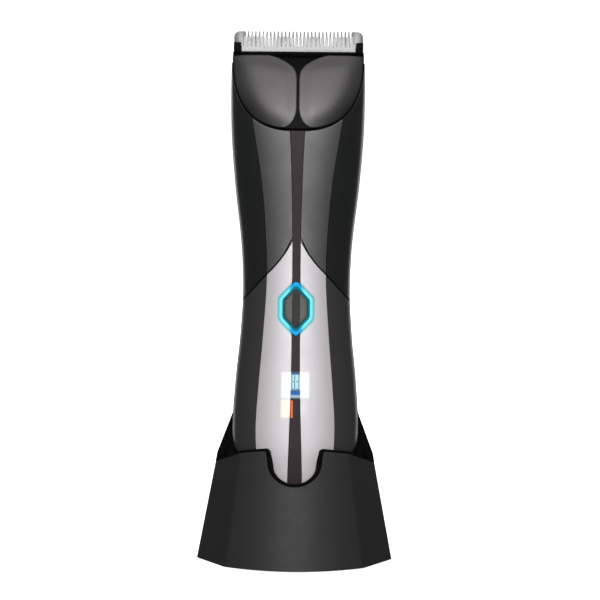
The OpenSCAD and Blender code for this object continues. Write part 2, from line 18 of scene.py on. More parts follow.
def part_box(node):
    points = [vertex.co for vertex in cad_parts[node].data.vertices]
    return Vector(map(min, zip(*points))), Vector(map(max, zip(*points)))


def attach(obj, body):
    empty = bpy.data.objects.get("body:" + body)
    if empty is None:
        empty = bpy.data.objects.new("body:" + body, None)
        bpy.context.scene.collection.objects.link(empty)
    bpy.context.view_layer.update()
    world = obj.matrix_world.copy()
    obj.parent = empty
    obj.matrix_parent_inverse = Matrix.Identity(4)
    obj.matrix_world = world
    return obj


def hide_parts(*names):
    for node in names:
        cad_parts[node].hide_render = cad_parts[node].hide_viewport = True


MM = 0.001
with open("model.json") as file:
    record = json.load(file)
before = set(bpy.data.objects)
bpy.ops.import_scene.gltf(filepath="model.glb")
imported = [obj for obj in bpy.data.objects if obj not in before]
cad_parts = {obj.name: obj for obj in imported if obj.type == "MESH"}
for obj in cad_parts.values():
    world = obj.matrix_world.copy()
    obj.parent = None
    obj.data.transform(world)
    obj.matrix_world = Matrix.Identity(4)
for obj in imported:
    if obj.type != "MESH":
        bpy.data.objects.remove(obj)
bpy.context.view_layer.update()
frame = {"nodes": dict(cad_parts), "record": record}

# ---------------------------------------------------------------- driving sizes, in millimetres

TAIL_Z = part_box("bottom_cap")[0][2] / MM
HEAD_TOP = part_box("head_shell")[1][2] / MM
DOCK_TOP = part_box("dock_shell")[1][2] / MM
COMB_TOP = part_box("fixed_blade")[1][2] / MM
COMB_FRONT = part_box("fixed_blade")[0][1] / MM
CUTTER_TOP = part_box("moving_blade")[1][2] / MM
CUTTER_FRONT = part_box("moving_blade")[0][1] / MM
BUTTON_Z = (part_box("light_ring")[0][2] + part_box("light_ring")[1][2]) / 2 / MM

# Casing profiles up the body, as (height, value)
HALF_W = [(TAIL_Z, 10.2), (16, 12.4), (24, 14.4), (31, 16.2), (36.5, 19.4), (41, 19.9), (58, 19.1),
          (72, 17.7), (86, 16.95), (100, 17.45), (120, 19.65), (136, 20.85), (150, 21.05), (HEAD_TOP, 20.8)]
FRONT_D = [(TAIL_Z, 9.4), (16, 11.6), (24, 14.6), (34, 15.8), (46, 15.8), (66, 14.6), (86, 13.3),
           (104, 13.4), (124, 14.6), (137, 14.8), (146, 13), (154, 9.6), (HEAD_TOP, 5.6)]
BACK_D = [(TAIL_Z, 9), (16, 11), (24, 13.4), (34, 14.5), (46, 14.5), (66, 13.6), (86, 12.9), (104, 13.1),
          (124, 14.3), (137, 14.4), (148, 12.8), (HEAD_TOP, 8.6)]
POWER = [(TAIL_Z, 2.5), (130, 2.5), (148, 3.2), (HEAD_TOP, 5)]
PANEL_W = [(20, 5.2), (24, 9), (30, 11.2), (37.5, 12.15), (44, 12.35), (56, 11.65), (72, 10.35), (91, 9.25),
           (101, 9.5), (120, 11), (138, 13.8)]
STRIP_W = [(20, 2.4), (26, 2.3), (60, 1.35), (80, 1.28), (102, 1.28), (125, 1.78), (138, 2.35)]
# Line between the upper and the silver panels, as (half-width, height)
VEE = [(0, 105), (1.4, 102.6), (3.5, 98.6), (6.1, 95), (9.5, 91.4), (17.5, 82.5), (24, 75)]

SHELL_TOP = 159  # tips of the casing's horns
SHELL_WALL = 2.3
CAP_TOP = 16  # top of the bottom cap
SHELL_LOW = CAP_TOP + 0.15
PANEL_LOW, PANEL_TOP = 20, 138
INLAY_LOW = PANEL_LOW + 0.5
INLAY_WALL = 1.0
LINER_DEPTH, LINER_WALL = 1.25, 1.1
EDGE = 0.1  # radius of the casing pieces' edges
GROOVE = 0.23  # half the width of the grooves between panels
PARTING = 0.004  # half the angle of the line between the front and back shells, in radians
ARC_W, ARC_DROP, ARC_Z, ARC_POWER = 20.6, 24.6, 161, 2.6
ARC_GAP = 0.3  # from the head's lower edge to the casing
RIB_FIELD, RIB_PITCH, RIB_DEPTH = 11, 1.8, 0.16
TONGUE_TURN = 0.13  # how far the tongue behind the parting line reaches to each side, in radians

RING_W, RING_H, RING_FLAT = 5.25, 8.75, 3.2
RING_GAP = 0.12  # from the light ring to the panels and the strip
RING_BLEND = 0.9  # how far from a corner of the ring's outline its sides are blended
SLANT = math.hypot(RING_W, RING_H - RING_FLAT)
SLANT_X, SLANT_Z = (RING_H - RING_FLAT) / SLANT, RING_W / SLANT  # square to the ring's slanted sides
STRIPE_HALF_W, STRIPE_HALF_H = 1.24, 5.9
DIGIT_W, DIGIT_H, SEGMENT = 1.14, 4.9, 0.24
DIGIT_X, DIGIT_Z = 0.64, 56.0
BAR_LIFT, BAR_WALL = 0.05, 0.4

# Sections of the button's rings, as (inset from the outline, depth behind the casing's front)
RING_SECTION = [(0.03, 1.6), (0.03, 0.10), (0.10, -0.04), (0.25, -0.16), (0.46, -0.22), (0.66, -0.20),
                (0.84, -0.10), (0.94, 0.08), (0.96, 1.6)]
GASKET_SECTION = [(0.98, 0.3), (1.04, 0.2), (1.52, 0.2), (1.6, 0.3), (1.6, 1.8), (0.98, 1.8)]
BUTTON_RIM = [(1.78, 1.2), (1.76, 0.25), (1.82, 0.06), (1.95, -0.04), (2.2, -0.09), (2.6, -0.10)]
BUTTON_FACE = [(3.2, -0.06), (4.0, 0.0), (4.6, 0.03)]
# Corner radii of the same rings, as (side corners, top and bottom corners)
RING_RADII, GASKET_RADII, FACE_RADII = (2.1, 1.0), (2.0, 0.9), (0.5, 0.25)

COMB_PITCH, COMB_ROOT, COMB_HALF_TEETH = 1.18, 162.4, 14
COMB_TOOTH = [(0.46, COMB_ROOT), (0.42, COMB_TOP - 2.2), (0.27, COMB_TOP - 1.4), (0.17, COMB_TOP)]
COMB_THICK, COMB_TAPER_Z, COMB_TAPER = 1.0, 164.6, 0.45
GUARD_X, GUARD_R = 18.6, 1.8
CUTTER_PITCH, CUTTER_ROOT, CUTTER_HALF_TEETH = 1.35, 163.1, 13
CUTTER_TOOTH = [(0.5, CUTTER_ROOT), (0.36, CUTTER_TOP - 0.5), (0.22, CUTTER_TOP)]
CUTTER_THICK, CUTTER_TAPER_Z, CUTTER_TAPER = 1.2, 163.4, 0.5

DOCK_Z0, DOCK_Z1, REST_Z = 0.5, 40, 34.5
# Lines up the dock's wall in X and Y, each from the foot to DOCK_Z1 (rim). In the back rest it goes from
# REST_Z (rest) to DOCK_TOP (top). The inward values say how far 1 mm of inset moves the line.
DOCK_SIDE = dict(foot=(31.3, 1), rim=(23.8, 1), inward=(-1.05, 0),
                 rest=(24.84, 1), top=(15.4, 14.2), top_inward=(-1, 0.3))
DOCK_FRONT_CORNER = dict(foot=(21.7, -16), rim=(16.7, -14.8), inward=(-0.7, 1))
DOCK_FRONT = dict(foot=(0, -24), rim=(0, -20.4), inward=(0, 1))
DOCK_BACK_CORNER = dict(foot=(23, 20), rim=(18, 17.2), inward=(-0.7, -1),
                        rest=(18.7, 17.6), top=(11.5, 18), top_inward=(-0.7, -1))
DOCK_BACK = dict(foot=(0, 24), rim=(0, 20.2), inward=(0, -1),
                 rest=(0, 20.73), top=(0, 19.2), top_inward=(0, -1))
DOCK_WALL, RIM_RADIUS = 2.2, 0.45
CORNER_S = 0.045  # half the length of the rounded edges between the dock's faces, along its outline
RIM_Z, RIM_SLOPE = 32.1, 0.29
NOTCH_W, NOTCH_Z, NOTCH_DROP = 8, 34, 7.2
NOTCH_FILLET, NOTCH_LEAN = 1.3, 0.3
FRONT_REACH = 17  # millimetres from the dock's front middle to its front corner, one step of s
# Section of the lip round the rim, as (depth below the rim, distance outwards)
LIP_SECTION = [(-0.18, -2.3), (-0.2, -0.6), (-0.08, -0.05), (0.1, 0.08), (0.8, 0.08), (1, -0.02),
               (1, -0.5), (0.5, -0.9), (0.5, -2.3)]
CRADLE_GAP, CRADLE_DROP, CRADLE_WALL = 0.55, 1.5, 0.9
CRADLE_FLOOR, FLOOR_THICK = 11.2, 1.6
CONTACT_X, CONTACT_HOLE_R = 5, 1.5

EDGE_STEPS = np.array([0, 0.04, 0.09, 0.15, 0.22, 0.3, 0.42])
SETTLE_ROUNDS = 40  # rounds in which a region's rows find their heights
MERGE, TINY_EDGE = 2e-7, 1e-7  # metres


# ---------------------------------------------------------------- curves and surfaces

def curve(knots, u):
    """Smooth curve through knots of (position, value), read at u."""
    k, v = np.array(knots, float).T
    u = np.asarray(u, float)
    slopes = np.diff(v) / np.diff(k)
    tangents = np.concatenate([slopes[:1], (slopes[1:] + slopes[:-1]) / 2, slopes[-1:]])
    i = np.clip(np.searchsorted(k, u, side="right") - 1, 0, len(k) - 2)
    h = k[i + 1] - k[i]
    t = (u - k[i]) / h
    return ((1 + 2 * t) * (1 - t) ** 2 * v[i] + t * (1 - t) ** 2 * h * tangents[i]
            + t * t * (3 - 2 * t) * v[i + 1] + t * t * (t - 1) * h * tangents[i + 1])


def power(v, e):
    return np.sign(v) * np.abs(v) ** e


def smooth(t):
    t = np.clip(t, 0, 1)
    return t * t * (3 - 2 * t)


def between(first, second, k):
    return np.array(first) * (1 - k) + np.array(second) * k


def constant(value):
    """Edge line that stays at one height or half-width."""
    return lambda at: value + 0 * at


def skin(a, z, inset):
    """Casing points at angle a (0 at the right, -90 degrees in front) and height z, drawn in by inset."""
    e = 2 / curve(POWER, z)
    w = curve(HALF_W, z) - inset
    d = np.where(np.sin(a) < 0, curve(FRONT_D, z), curve(BACK_D, z)) - inset
    return np.stack([w * power(np.cos(a), e), d * power(np.sin(a), e), z + 0 * a], axis=-1)


def angle_at(x, z):
    """Angle on the front right quarter of the casing whose point lies x from the centre plane."""
    ratio = np.clip(np.abs(x) / curve(HALF_W, z), 0, 1)
    return -np.arccos(ratio ** (curve(POWER, z) / 2))


def front_y(x, z):
    """Y of the casing's front at x and z."""
    return skin(angle_at(x, z), z, 0)[..., 1]


def arc_height(x, grow):
    """Height of the head's smile-shaped lower edge at x, moved outwards by grow."""
    ratio = np.clip(np.abs(x) / (ARC_W + grow), 0, 1)
    return ARC_Z - (ARC_DROP + grow) * (1 - ratio ** ARC_POWER) ** (1 / ARC_POWER)


def arc_half_width(z, grow=0.0):
    ratio = np.clip((ARC_Z - z) / (ARC_DROP + grow), 0, 1)
    return (ARC_W + grow) * (1 - ratio ** ARC_POWER) ** (1 / ARC_POWER)


def shell_top(x):
    """Upper edge of the casing, round the head and up to the horns' tips."""
    return np.minimum(arc_height(x, ARC_GAP), SHELL_TOP)


def vee_height(x, gap):
    """Height of the line between the upper and lower panels, moved square to itself by gap."""
    step = 0.2
    x = np.clip(np.abs(x), 0, VEE[-1][0] - step)
    slope = (curve(VEE, x + step) - curve(VEE, x)) / step
    return curve(VEE, x) + gap * np.sqrt(1 + slope ** 2)


def above_vee(x):
    return vee_height(x, GROOVE)


def below_vee(x):
    return vee_height(x, -GROOVE)


def soft_min(a, b, blend):
    """Smaller of two values, with the corner between them rounded."""
    near = np.clip(blend - np.abs(a - b), 0, blend)
    return np.minimum(a, b) - near ** 2 / (4 * blend)


def hex_size(inset):
    """Half-width and half-height of the light ring's outline, drawn in."""
    return RING_W - inset, RING_H - inset / SLANT_Z


def hex_distance(x, z):
    """Distance outside the light ring's outline, negative inside."""
    half_w, half_h = hex_size(0)
    x, z = np.abs(x), np.abs(z - BUTTON_Z)
    return -soft_min(half_w - x, SLANT_Z * (half_h - z) - SLANT_X * x, RING_BLEND)


def hex_half_width(z, grow):
    """Half-width at z of the opening round the light ring, with rounded side corners."""
    half_w, half_h = hex_size(-grow)
    slanted = SLANT_Z * (half_h - np.abs(z - BUTTON_Z)) / SLANT_X
    return np.clip(soft_min(half_w, slanted, 0.7), 0, None)


def hex_half_height(x, grow):
    """Half-height at x of the opening round the light ring, with rounded tips."""
    tip_round = 0.42
    return hex_size(-grow)[1] - np.hypot(x, tip_round) * SLANT_X / SLANT_Z


def panel_edge(z, grow):
    """Half-width of the inlaid panels' outer edge."""
    return curve(PANEL_W, np.clip(z, PANEL_LOW, PANEL_TOP)) + grow


def spaced(count, length, finest=1.0):
    """Steps from 0 to 1 along a length in millimetres, close together near both ends."""
    edge = EDGE_STEPS * finest / length
    inner = np.linspace(edge[-1], 1 - edge[-1], count)
    return np.concatenate([edge[:-1], inner, 1 - edge[:-1][::-1]])


def nearest(points, line):
    """Distance from each point of a grid to the closest point of a line."""
    flat = points.reshape(-1, points.shape[-1])
    near = [np.sqrt(((some[:, None] - line[None]) ** 2).sum(-1)).min(1)
            for some in np.array_split(flat, len(flat) // 1500 + 1)]
    return np.concatenate(near).reshape(points.shape[:2])


def border_distance(points):
    """Distance of each grid point from the grid's own border."""
    return nearest(points, np.concatenate([points[0], points[-1], points[:, 0], points[:, -1]]))


def rounded(distance, radius):
    """Drop of a surface at a distance from its edge, for an edge rounded to radius."""
    inside = np.clip(radius - distance, 0, radius)
    return radius - np.sqrt(radius ** 2 - inside ** 2)


# ---------------------------------------------------------------- meshes

def grid_faces(rows, cols, start=0, wrap=False):
    last = cols if wrap else cols - 1
    return [(start + r * cols + c, start + r * cols + (c + 1) % cols,
             start + (r + 1) * cols + (c + 1) % cols, start + (r + 1) * cols + c)
            for r in range(rows - 1) for c in range(last)]


def wrapped(points):
    """Open tube over a grid whose columns run right round."""
    return points.reshape(-1, 3), grid_faces(*points.shape[:2], wrap=True)


def closed_grid(outer, inner):
    """Closed shell between two grids of the same shape."""
    rows, cols = outer.shape[:2]
    n = rows * cols
    faces = grid_faces(rows, cols)
    faces += [tuple(reversed(f)) for f in grid_faces(rows, cols, n)]
    rim = ([(0, c) for c in range(cols)] + [(r, cols - 1) for r in range(1, rows)]
           + [(rows - 1, c) for c in range(cols - 2, -1, -1)] + [(r, 0) for r in range(rows - 2, 0, -1)])
    ids = [r * cols + c for r, c in rim]
    faces += [(ids[i], ids[i - 1], ids[i - 1] + n, ids[i] + n) for i in range(len(ids))]
    return np.concatenate([outer.reshape(-1, 3), inner.reshape(-1, 3)]), faces


def lathe(rings, cap_ends=True):
    """Closed solid through rings of points; without caps the last ring joins the first."""
    points = np.array(rings)
    rows, cols = points.shape[:2]
    last = (rows - 1) * cols
    points, faces = wrapped(points)
    if cap_ends:
        faces += [tuple(range(cols - 1, -1, -1)), tuple(range(last, rows * cols))]
    else:
        faces += [(last + c, last + (c + 1) % cols, (c + 1) % cols, c) for c in range(cols)]
    return points, faces


def mirrored(part):
    points, faces = part
    return points * np.array([-1, 1, 1]), [tuple(reversed(f)) for f in faces]


def pair(part):
    return [part, mirrored(part)]


def patch(a, z, thick, radius, inset=0.0):
    """Closed piece of casing over a grid of angles and heights, with its outer edges rounded."""
    drop = rounded(border_distance(skin(a, z, inset)), radius)
    return closed_grid(skin(a, z, inset + drop), skin(a, z, inset + thick))


def region(left, right, low, high, us, vs, level=None):
    """Angles and heights of a grid on the casing's front right quarter.

    It lies between the half-widths left(z) and right(z) and the heights low(x) and high(x).
    With level = (height, part of the rows), the rows up to that height stay level.
    """
    u, v = np.meshgrid(us, vs)
    z = 80 + 0 * u
    for _ in range(SETTLE_ROUNDS):
        a0, a1 = angle_at(left(z), z), angle_at(right(z), z)
        a = a0 + (a1 - a0) * u
        x = skin(a, z, 0)[..., 0]
        if level:
            turn, share = level
            aim = np.where(v < share, low(x) + (turn - low(x)) * v / share,
                           turn + (high(x) - turn) * (v - share) / (1 - share))
        else:
            aim = low(x) + (high(x) - low(x)) * v
        z = 0.5 * z + 0.5 * aim
    return a, z


def both_halves(a, z, middle=-math.pi / 2):
    """Grid over both halves of the casing, from the grid of one half that starts at the middle angle."""
    a = np.concatenate([2 * middle - a[:, ::-1], a[:, 1:]], axis=1)
    return a, np.concatenate([z[:, ::-1], z[:, 1:]], axis=1)


def mesh_object(name, parts, material, smooth_angle=32, bevel=None, thickness=None):
    """Object from (points in mm, faces) parts, joined, with outward faces and soft edges.

    bevel is (width in mm, angle in degrees, segments).
    """
    points, faces = [], []
    for part_points, part_faces in parts:
        faces += [tuple(i + len(points) for i in f) for f in part_faces]
        points += [tuple(p) for p in np.asarray(part_points) * MM]
    mesh = bpy.data.meshes.new(name)
    mesh.from_pydata(points, [], faces)
    work = bmesh.new()
    work.from_mesh(mesh)
    bmesh.ops.remove_doubles(work, verts=work.verts, dist=MERGE)
    bmesh.ops.dissolve_degenerate(work, edges=work.edges, dist=TINY_EDGE)
    bmesh.ops.recalc_face_normals(work, faces=work.faces)
    work.to_mesh(mesh)
    work.free()
    obj = bpy.data.objects.new(name, mesh)
    bpy.context.scene.collection.objects.link(obj)
    if bevel:
        width, angle, segments = bevel
        mod = obj.modifiers.new("edges", "BEVEL")
        mod.width = width * MM
        mod.segments = segments
        mod.limit_method = "ANGLE"
        mod.angle_limit = math.radians(angle)
        apply_modifiers(obj)
    obj.data.polygons.foreach_set("use_smooth", [True] * len(obj.data.polygons))
    obj.data.set_sharp_from_angle(angle=math.radians(smooth_angle))
    obj.data.materials.append(material)
    if thickness:
        mod = obj.modifiers.new("thickness", "SOLIDIFY")
        mod.thickness = thickness * MM
        mod.offset = -1
        apply_modifiers(obj)
    return obj


def apply_modifiers(obj):
    depsgraph = bpy.context.evaluated_depsgraph_get()
    mesh = bpy.data.meshes.new_from_object(obj.evaluated_get(depsgraph))
    obj.modifiers.clear()
    old = obj.data
    obj.data = mesh
    bpy.data.meshes.remove(old)


def piece(name, parts, body, material, nodes=(), slot=None, **shape):
    """Object that rides on a body and stands for CAD nodes, which it hides; the slot argument is not used.
    """
    obj = mesh_object(name, parts, MATERIALS[material], **shape)
    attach(obj, body)
    for node in nodes:
        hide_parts(node)


def piece_pair(name, part, body, material, **shape):
    """Left and right pieces that stand for the CAD nodes of the same name."""
    for side, half in (("left", mirrored(part)), ("right", part)):
        piece(f"{name}_{side}_skin", [half], body, material, [f"{name}_{side}"], **shape)


def sloped_plate(outline, y0, thick, slope_z, slope):
    """Outline in X and Z made thick; its front face leans back by slope from slope_z to the top."""
    outline = np.array(outline)
    n = len(outline)
    x, z = outline.T
    lean = slope * smooth((z - slope_z) / (z.max() - slope_z))
    front = np.column_stack([x, y0 + lean, z])
    back = np.column_stack([x, np.full(n, y0 + thick), z])
    faces = [tuple(range(n)), tuple(range(2 * n - 1, n - 1, -1))]
    faces += [(i, i + n, (i + 1) % n + n, (i + 1) % n) for i in range(n)]
    return np.concatenate([front, back]), faces


def flat_plate(outline, holes, z0, z1):
    """Flat plate between two heights from an outline in X and Y with holes through it."""
    loops = [[Vector((x, y, 0)) for x, y in loop] for loop in [outline] + holes]
    flat = [tuple(v)[:2] for loop in loops for v in loop]
    n = len(flat)
    points = [(x, y, z) for z in (z0, z1) for x, y in flat]
    triangles = tessellate_polygon(loops)
    faces = [tuple(t) for t in triangles] + [tuple(i + n for i in reversed(t)) for t in triangles]
    start = 0
    for loop in loops:
        ids = [start + i for i in range(len(loop))]
        faces += [(ids[i - 1], ids[i], ids[i] + n, ids[i - 1] + n) for i in range(len(ids))]
        start += len(loop)
    return np.array(points), faces


def block(low, high):
    corners = np.array(list(product(*zip(low, high))))
    return corners, [(0, 1, 3, 2), (4, 6, 7, 5), (0, 4, 5, 1), (2, 3, 7, 6), (0, 2, 6, 4), (1, 5, 7, 3)]


# ---------------------------------------------------------------- materials

BLACK = (0.002, 0.002, 0.002)
PLASTIC_IOR = 1.5

# Plain plastics and lacquers: colour, roughness and what differs from plastic()'s usual settings
PLASTICS = {
    "dock_plastic": ((0.0165, 0.0175, 0.0165), 0.61, dict(vary=0.06, grain_mm=0.3, grain=0.2)),
    "cradle_plastic": (BLACK, 0.7, dict(grain=0.1, specular=0.04)),
    "pad_rubber": ((0.012, 0.012, 0.012), 0.85, dict(grain_mm=0.5, grain=0.4)),
    "seal_rubber": ((0.006, 0.006, 0.006), 0.7, dict(grain=0.3)),
    "side_gloss": ((0.010, 0.011, 0.011), 0.30, dict(coat=0.25, vary=0.05, grain=0.05)),
    "lower_side_gloss": ((0.036, 0.035, 0.037), 0.36, dict(coat=0.25, vary=0.05, grain=0.05)),
    "back_soft": ((0.014, 0.014, 0.015), 0.55, dict(grain_mm=0.2, grain=0.3)),
    "upper_panel_paint": ((0.098, 0.098, 0.098), 0.56,
                          dict(coat=0.08, coat_rough=0.3, metallic=0.8, vary=0.03, grain=0.03, flake=0.12)),
    "head_gloss": ((0.0025, 0.0025, 0.0025), 0.5, dict(vary=0.05, grain=0.03, specular=0.06)),
    "button_satin": ((0.10, 0.10, 0.097), 0.5, dict(vary=0.06, grain=0.05, specular=0.25)),
    "button_stripe": ((0.03, 0.026, 0.024), 0.5, dict(vary=0.06, grain=0.05, specular=0.15)),
    "frame_black": (BLACK, 0.55, dict(grain=0.05, specular=0.04)),
    "blade_ceramic": ((0.52, 0.505, 0.51), 0.42, dict(vary=0.03, grain_mm=0.15, grain=0.08)),
    "follower_plastic": ((0.6, 0.6, 0.57), 0.5, {}),
    "chassis_plastic": ((0.03, 0.03, 0.032), 0.55, dict(grain=0.3)),
    "circuit_board": ((0.01, 0.10, 0.05), 0.35, dict(vary=0.3)),
    "switch_plastic": ((0.5, 0.5, 0.48), 0.5, {}),
    "display_white": ((0.8, 0.85, 0.9), 0.4, {}),
    "cell_sleeve": ((0.05, 0.15, 0.33), 0.3, dict(coat=0.3)),
}
# Metals: colour and roughness
METALS = {"comb_steel": ((0.14, 0.14, 0.143), 0.38), "contact_gold": ((0.83, 0.62, 0.27), 0.25)}
for slot in ("steel_fastener", "socket_steel", "spring_steel", "nickel", "motor_steel", "rotor_steel"):
    METALS[slot] = ((0.56, 0.57, 0.59), 0.3)
# Lit surfaces: colour and strength. The gasket's teal glow is painted light from the light ring, not a lamp
# of its own.
GLOWS = {
    "gasket_painted_ring_light": ((0.0, 0.13, 0.17), 0.9), "digit_light": ((0.015, 0.16, 0.27), 0.9),
    "icon_light": ((0.01, 0.12, 0.50), 0.9), "bar_light": ((1.0, 0.14, 0.04), 0.85),
}
# Where light shines through the lacquer and the strip, as X and Z spans in millimetres
DISPLAY_BOX = ((-4.3, 4.3), (53.3, 61.3))
BAR_BOX = ((-4.4, 0), (47.3, 52.8))
HALO_BOX = ((-3, 3.6), (48.2, 52.6))
STRIP_BOX = ((-3, 3), (53.4, 61.4))
# The last colour is painted shade and painted cyan light for the paint round the light ring.
DISPLAY_LIGHT, BAR_HALO, RING_PAINTED_LIGHT_SHADE = (0.62, 0.93, 1.0), (1.0, 0.80, 0.30), (0.16, 0.42, 0.45)
STRIP_LIGHT, STRIP_DIM = (0.62, 0.92, 1.0), (0.03, 0.13, 0.34)
RING_CYAN, RING_BLUE = (0.20, 0.90, 0.95), (0.0, 0.37, 0.76)


class Nodes:
    """Short way to write a material's node graph."""

    def __init__(self, name):
        self.material = bpy.data.materials.new(name)
        self.material.use_nodes = True
        self.tree = self.material.node_tree
        self.shader = self.tree.nodes["Principled BSDF"]
        self.coords = self.tree.nodes.new("ShaderNodeTexCoord").outputs["Object"]

    def link(self, source, target):
        self.tree.links.new(source, target)

    def noise(self, size_mm, detail=3.0, stretch=(1, 1, 1)):
        mapping = self.tree.nodes.new("ShaderNodeMapping")
        mapping.inputs["Scale"].default_value = [1 / (size_mm * MM * s) for s in stretch]
        self.link(self.coords, mapping.inputs["Vector"])
        node = self.tree.nodes.new("ShaderNodeTexNoise")
        node.inputs["Scale"].default_value = 1
        node.inputs["Detail"].default_value = detail
        node.inputs["Roughness"].default_value = 0.55
        self.link(mapping.outputs[0], node.inputs["Vector"])
        return node.outputs["Fac"]

    def flakes(self, size_mm):
        node = self.tree.nodes.new("ShaderNodeTexVoronoi")
        node.inputs["Scale"].default_value = 1 / (size_mm * MM)
        self.link(self.coords, node.inputs["Vector"])
        grey = self.tree.nodes.new("ShaderNodeRGBToBW")
        self.link(node.outputs["Color"], grey.inputs[0])
        return grey.outputs[0]

    def math(self, kind, a, b=0.0, c=0.0):
        node = self.tree.nodes.new("ShaderNodeMath")
        node.operation = kind
        for value, socket in zip((a, b, c), node.inputs):
            if isinstance(value, (int, float)):
                socket.default_value = value
            else:
                self.link(value, socket)
        return node.outputs[0]

    def times(self, a, b):
        return self.math("MULTIPLY", a, b)

    def span(self, value, low, high, to_low=0.0, to_high=1.0, kind="SMOOTHSTEP"):
        node = self.tree.nodes.new("ShaderNodeMapRange")
        node.interpolation_type = kind
        self.link(value, node.inputs["Value"])
        for key, number in (("From Min", low), ("From Max", high), ("To Min", to_low), ("To Max", to_high)):
            node.inputs[key].default_value = number
        return node.outputs["Result"]

    def mix(self, factor, first, second):
        node = self.tree.nodes.new("ShaderNodeMix")
        node.data_type = "RGBA"
        self.link(factor, node.inputs["Factor"])
        for value, socket in ((first, node.inputs[6]), (second, node.inputs[7])):
            if isinstance(value, tuple):
                socket.default_value = (*value, 1)
            else:
                self.link(value, socket)
        return node.outputs[2]

    def axis(self, which):
        split = self.tree.nodes.new("ShaderNodeSeparateXYZ")
        self.link(self.coords, split.inputs[0])
        return split.outputs[which]

    def box_mask(self, box, soft_mm):
        """1 inside a box in X and Z, fading over soft_mm at its edges."""
        sides = []
        for which, (low, high) in zip((0, 2), box):
            value = self.axis(which)
            rise = self.span(value, (low - soft_mm) * MM, (low + soft_mm) * MM)
            fall = self.span(value, (high - soft_mm) * MM, (high + soft_mm) * MM, 1, 0)
            sides.append(self.times(rise, fall))
        return self.times(*sides)

    def bump(self, height, strength, depth_mm):
        node = self.tree.nodes.new("ShaderNodeBump")
        node.inputs["Strength"].default_value = strength
        node.inputs["Distance"].default_value = depth_mm * MM
        self.link(height, node.inputs["Height"])
        self.link(node.outputs[0], self.shader.inputs["Normal"])

    def feed(self, key, source):
        self.link(source, self.shader.inputs[key])

    def tint(self, mask, colour):
        """Turn the paint to another colour where mask is 1."""
        paint = self.shader.inputs["Base Color"].links[0].from_socket
        self.feed("Base Color", self.mix(mask, paint, colour))

    def set(self, **values):
        for key, value in values.items():
            self.shader.inputs[key.replace("_", " ")].default_value = value


def shade(colour, factor):
    return tuple(min(1.0, c * factor) for c in colour)


def plastic(name, colour, rough, coat=0.0, coat_rough=0.08, metallic=0.0, vary=0.10, grain_mm=0.25,
            grain=0.12, flake=0.0, specular=0.5):
    """Moulded or lacquered plastic with slight variation, fine surface grain and optional flake."""
    n = Nodes(name)
    tone = n.mix(n.noise(9, 4), shade(colour, 1 - vary), shade(colour, 1 + vary))
    if flake:
        sparkle = n.span(n.flakes(0.09), 0.1, 0.9, kind="LINEAR")
        tone = n.mix(n.times(sparkle, flake), tone, shade(colour, 2.2))
    n.feed("Base Color", tone)
    smudge = n.math("ADD", n.times(n.noise(4, 5), 0.6), n.times(n.noise(0.6, 2), 0.4))
    n.feed("Roughness", n.span(smudge, 0.25, 0.75, rough * 0.88, rough * 1.12, "LINEAR"))
    n.set(Metallic=metallic, Coat_Weight=coat, Coat_Roughness=coat_rough, IOR=PLASTIC_IOR,
          Specular_IOR_Level=specular)
    n.bump(n.noise(grain_mm, 2), grain, 0.02)
    return n


def brushed(name, colour, rough):
    """Ground or drawn metal with fine parallel marks."""
    n = Nodes(name)
    lines = n.noise(0.06, 3, (1, 1, 40))
    n.feed("Base Color", n.mix(lines, shade(colour, 0.82), shade(colour, 1.12)))
    n.feed("Roughness", n.span(lines, 0.3, 0.7, rough * 0.8, rough * 1.25, "LINEAR"))
    n.set(Metallic=1.0)
    n.bump(lines, 0.2, 0.01)
    return n


def glow(name, colour, strength):
    """Lit plastic that shines in one colour."""
    n = plastic(name, shade(colour, 0.25), 0.5, vary=0.02, specular=0.1)
    n.set(Emission_Color=(*colour, 1), Emission_Strength=strength)
    return n


def painted_ring_light_and_shade(n):
    """Mask for painted shade and painted cyan light on the paint round the light ring: 1 at its outer edge,
    fading away from it.
    """
    half_w, half_h = hex_size(0)
    x = n.math("ABSOLUTE", n.axis(0))
    z = n.math("ABSOLUTE", n.math("SUBTRACT", n.axis(2), BUTTON_Z * MM))
    slanted = n.math("ADD", n.times(x, SLANT_X), n.times(z, SLANT_Z))
    side = n.math("SUBTRACT", x, half_w * MM)
    above = n.math("SUBTRACT", slanted, SLANT_Z * half_h * MM)
    outside = n.math("SMOOTH_MAX", side, above, RING_BLEND * MM)
    return n.span(outside, 0.15 * MM, 1.05 * MM, 1, 0)


def silver_material():
    """Pearl silver lacquer; the display's back light glows through it beside the centre strip. Round the
    light ring it carries painted shade and painted cyan light.
    """
    n = plastic("silver_paint", (0.6, 0.57, 0.59), 0.56, coat=0.08, coat_rough=0.3, metallic=0.4, vary=0.015,
                grain=0.02, flake=0.06, specular=0.3)
    display = n.box_mask(DISPLAY_BOX, 0.55)
    bar = n.box_mask(BAR_BOX, 0.5)
    halo = n.times(n.box_mask(HALO_BOX, 1.5), 0.22)
    glowing = n.math("ADD", display, n.math("ADD", bar, halo))
    n.feed("Emission Color", n.mix(bar, DISPLAY_LIGHT, BAR_HALO))
    n.feed("Emission Strength", n.times(glowing, 0.36))
    # Painted shade and painted cyan light from the ring, tinting the paint round it.
    n.tint(painted_ring_light_and_shade(n), RING_PAINTED_LIGHT_SHADE)
    return n


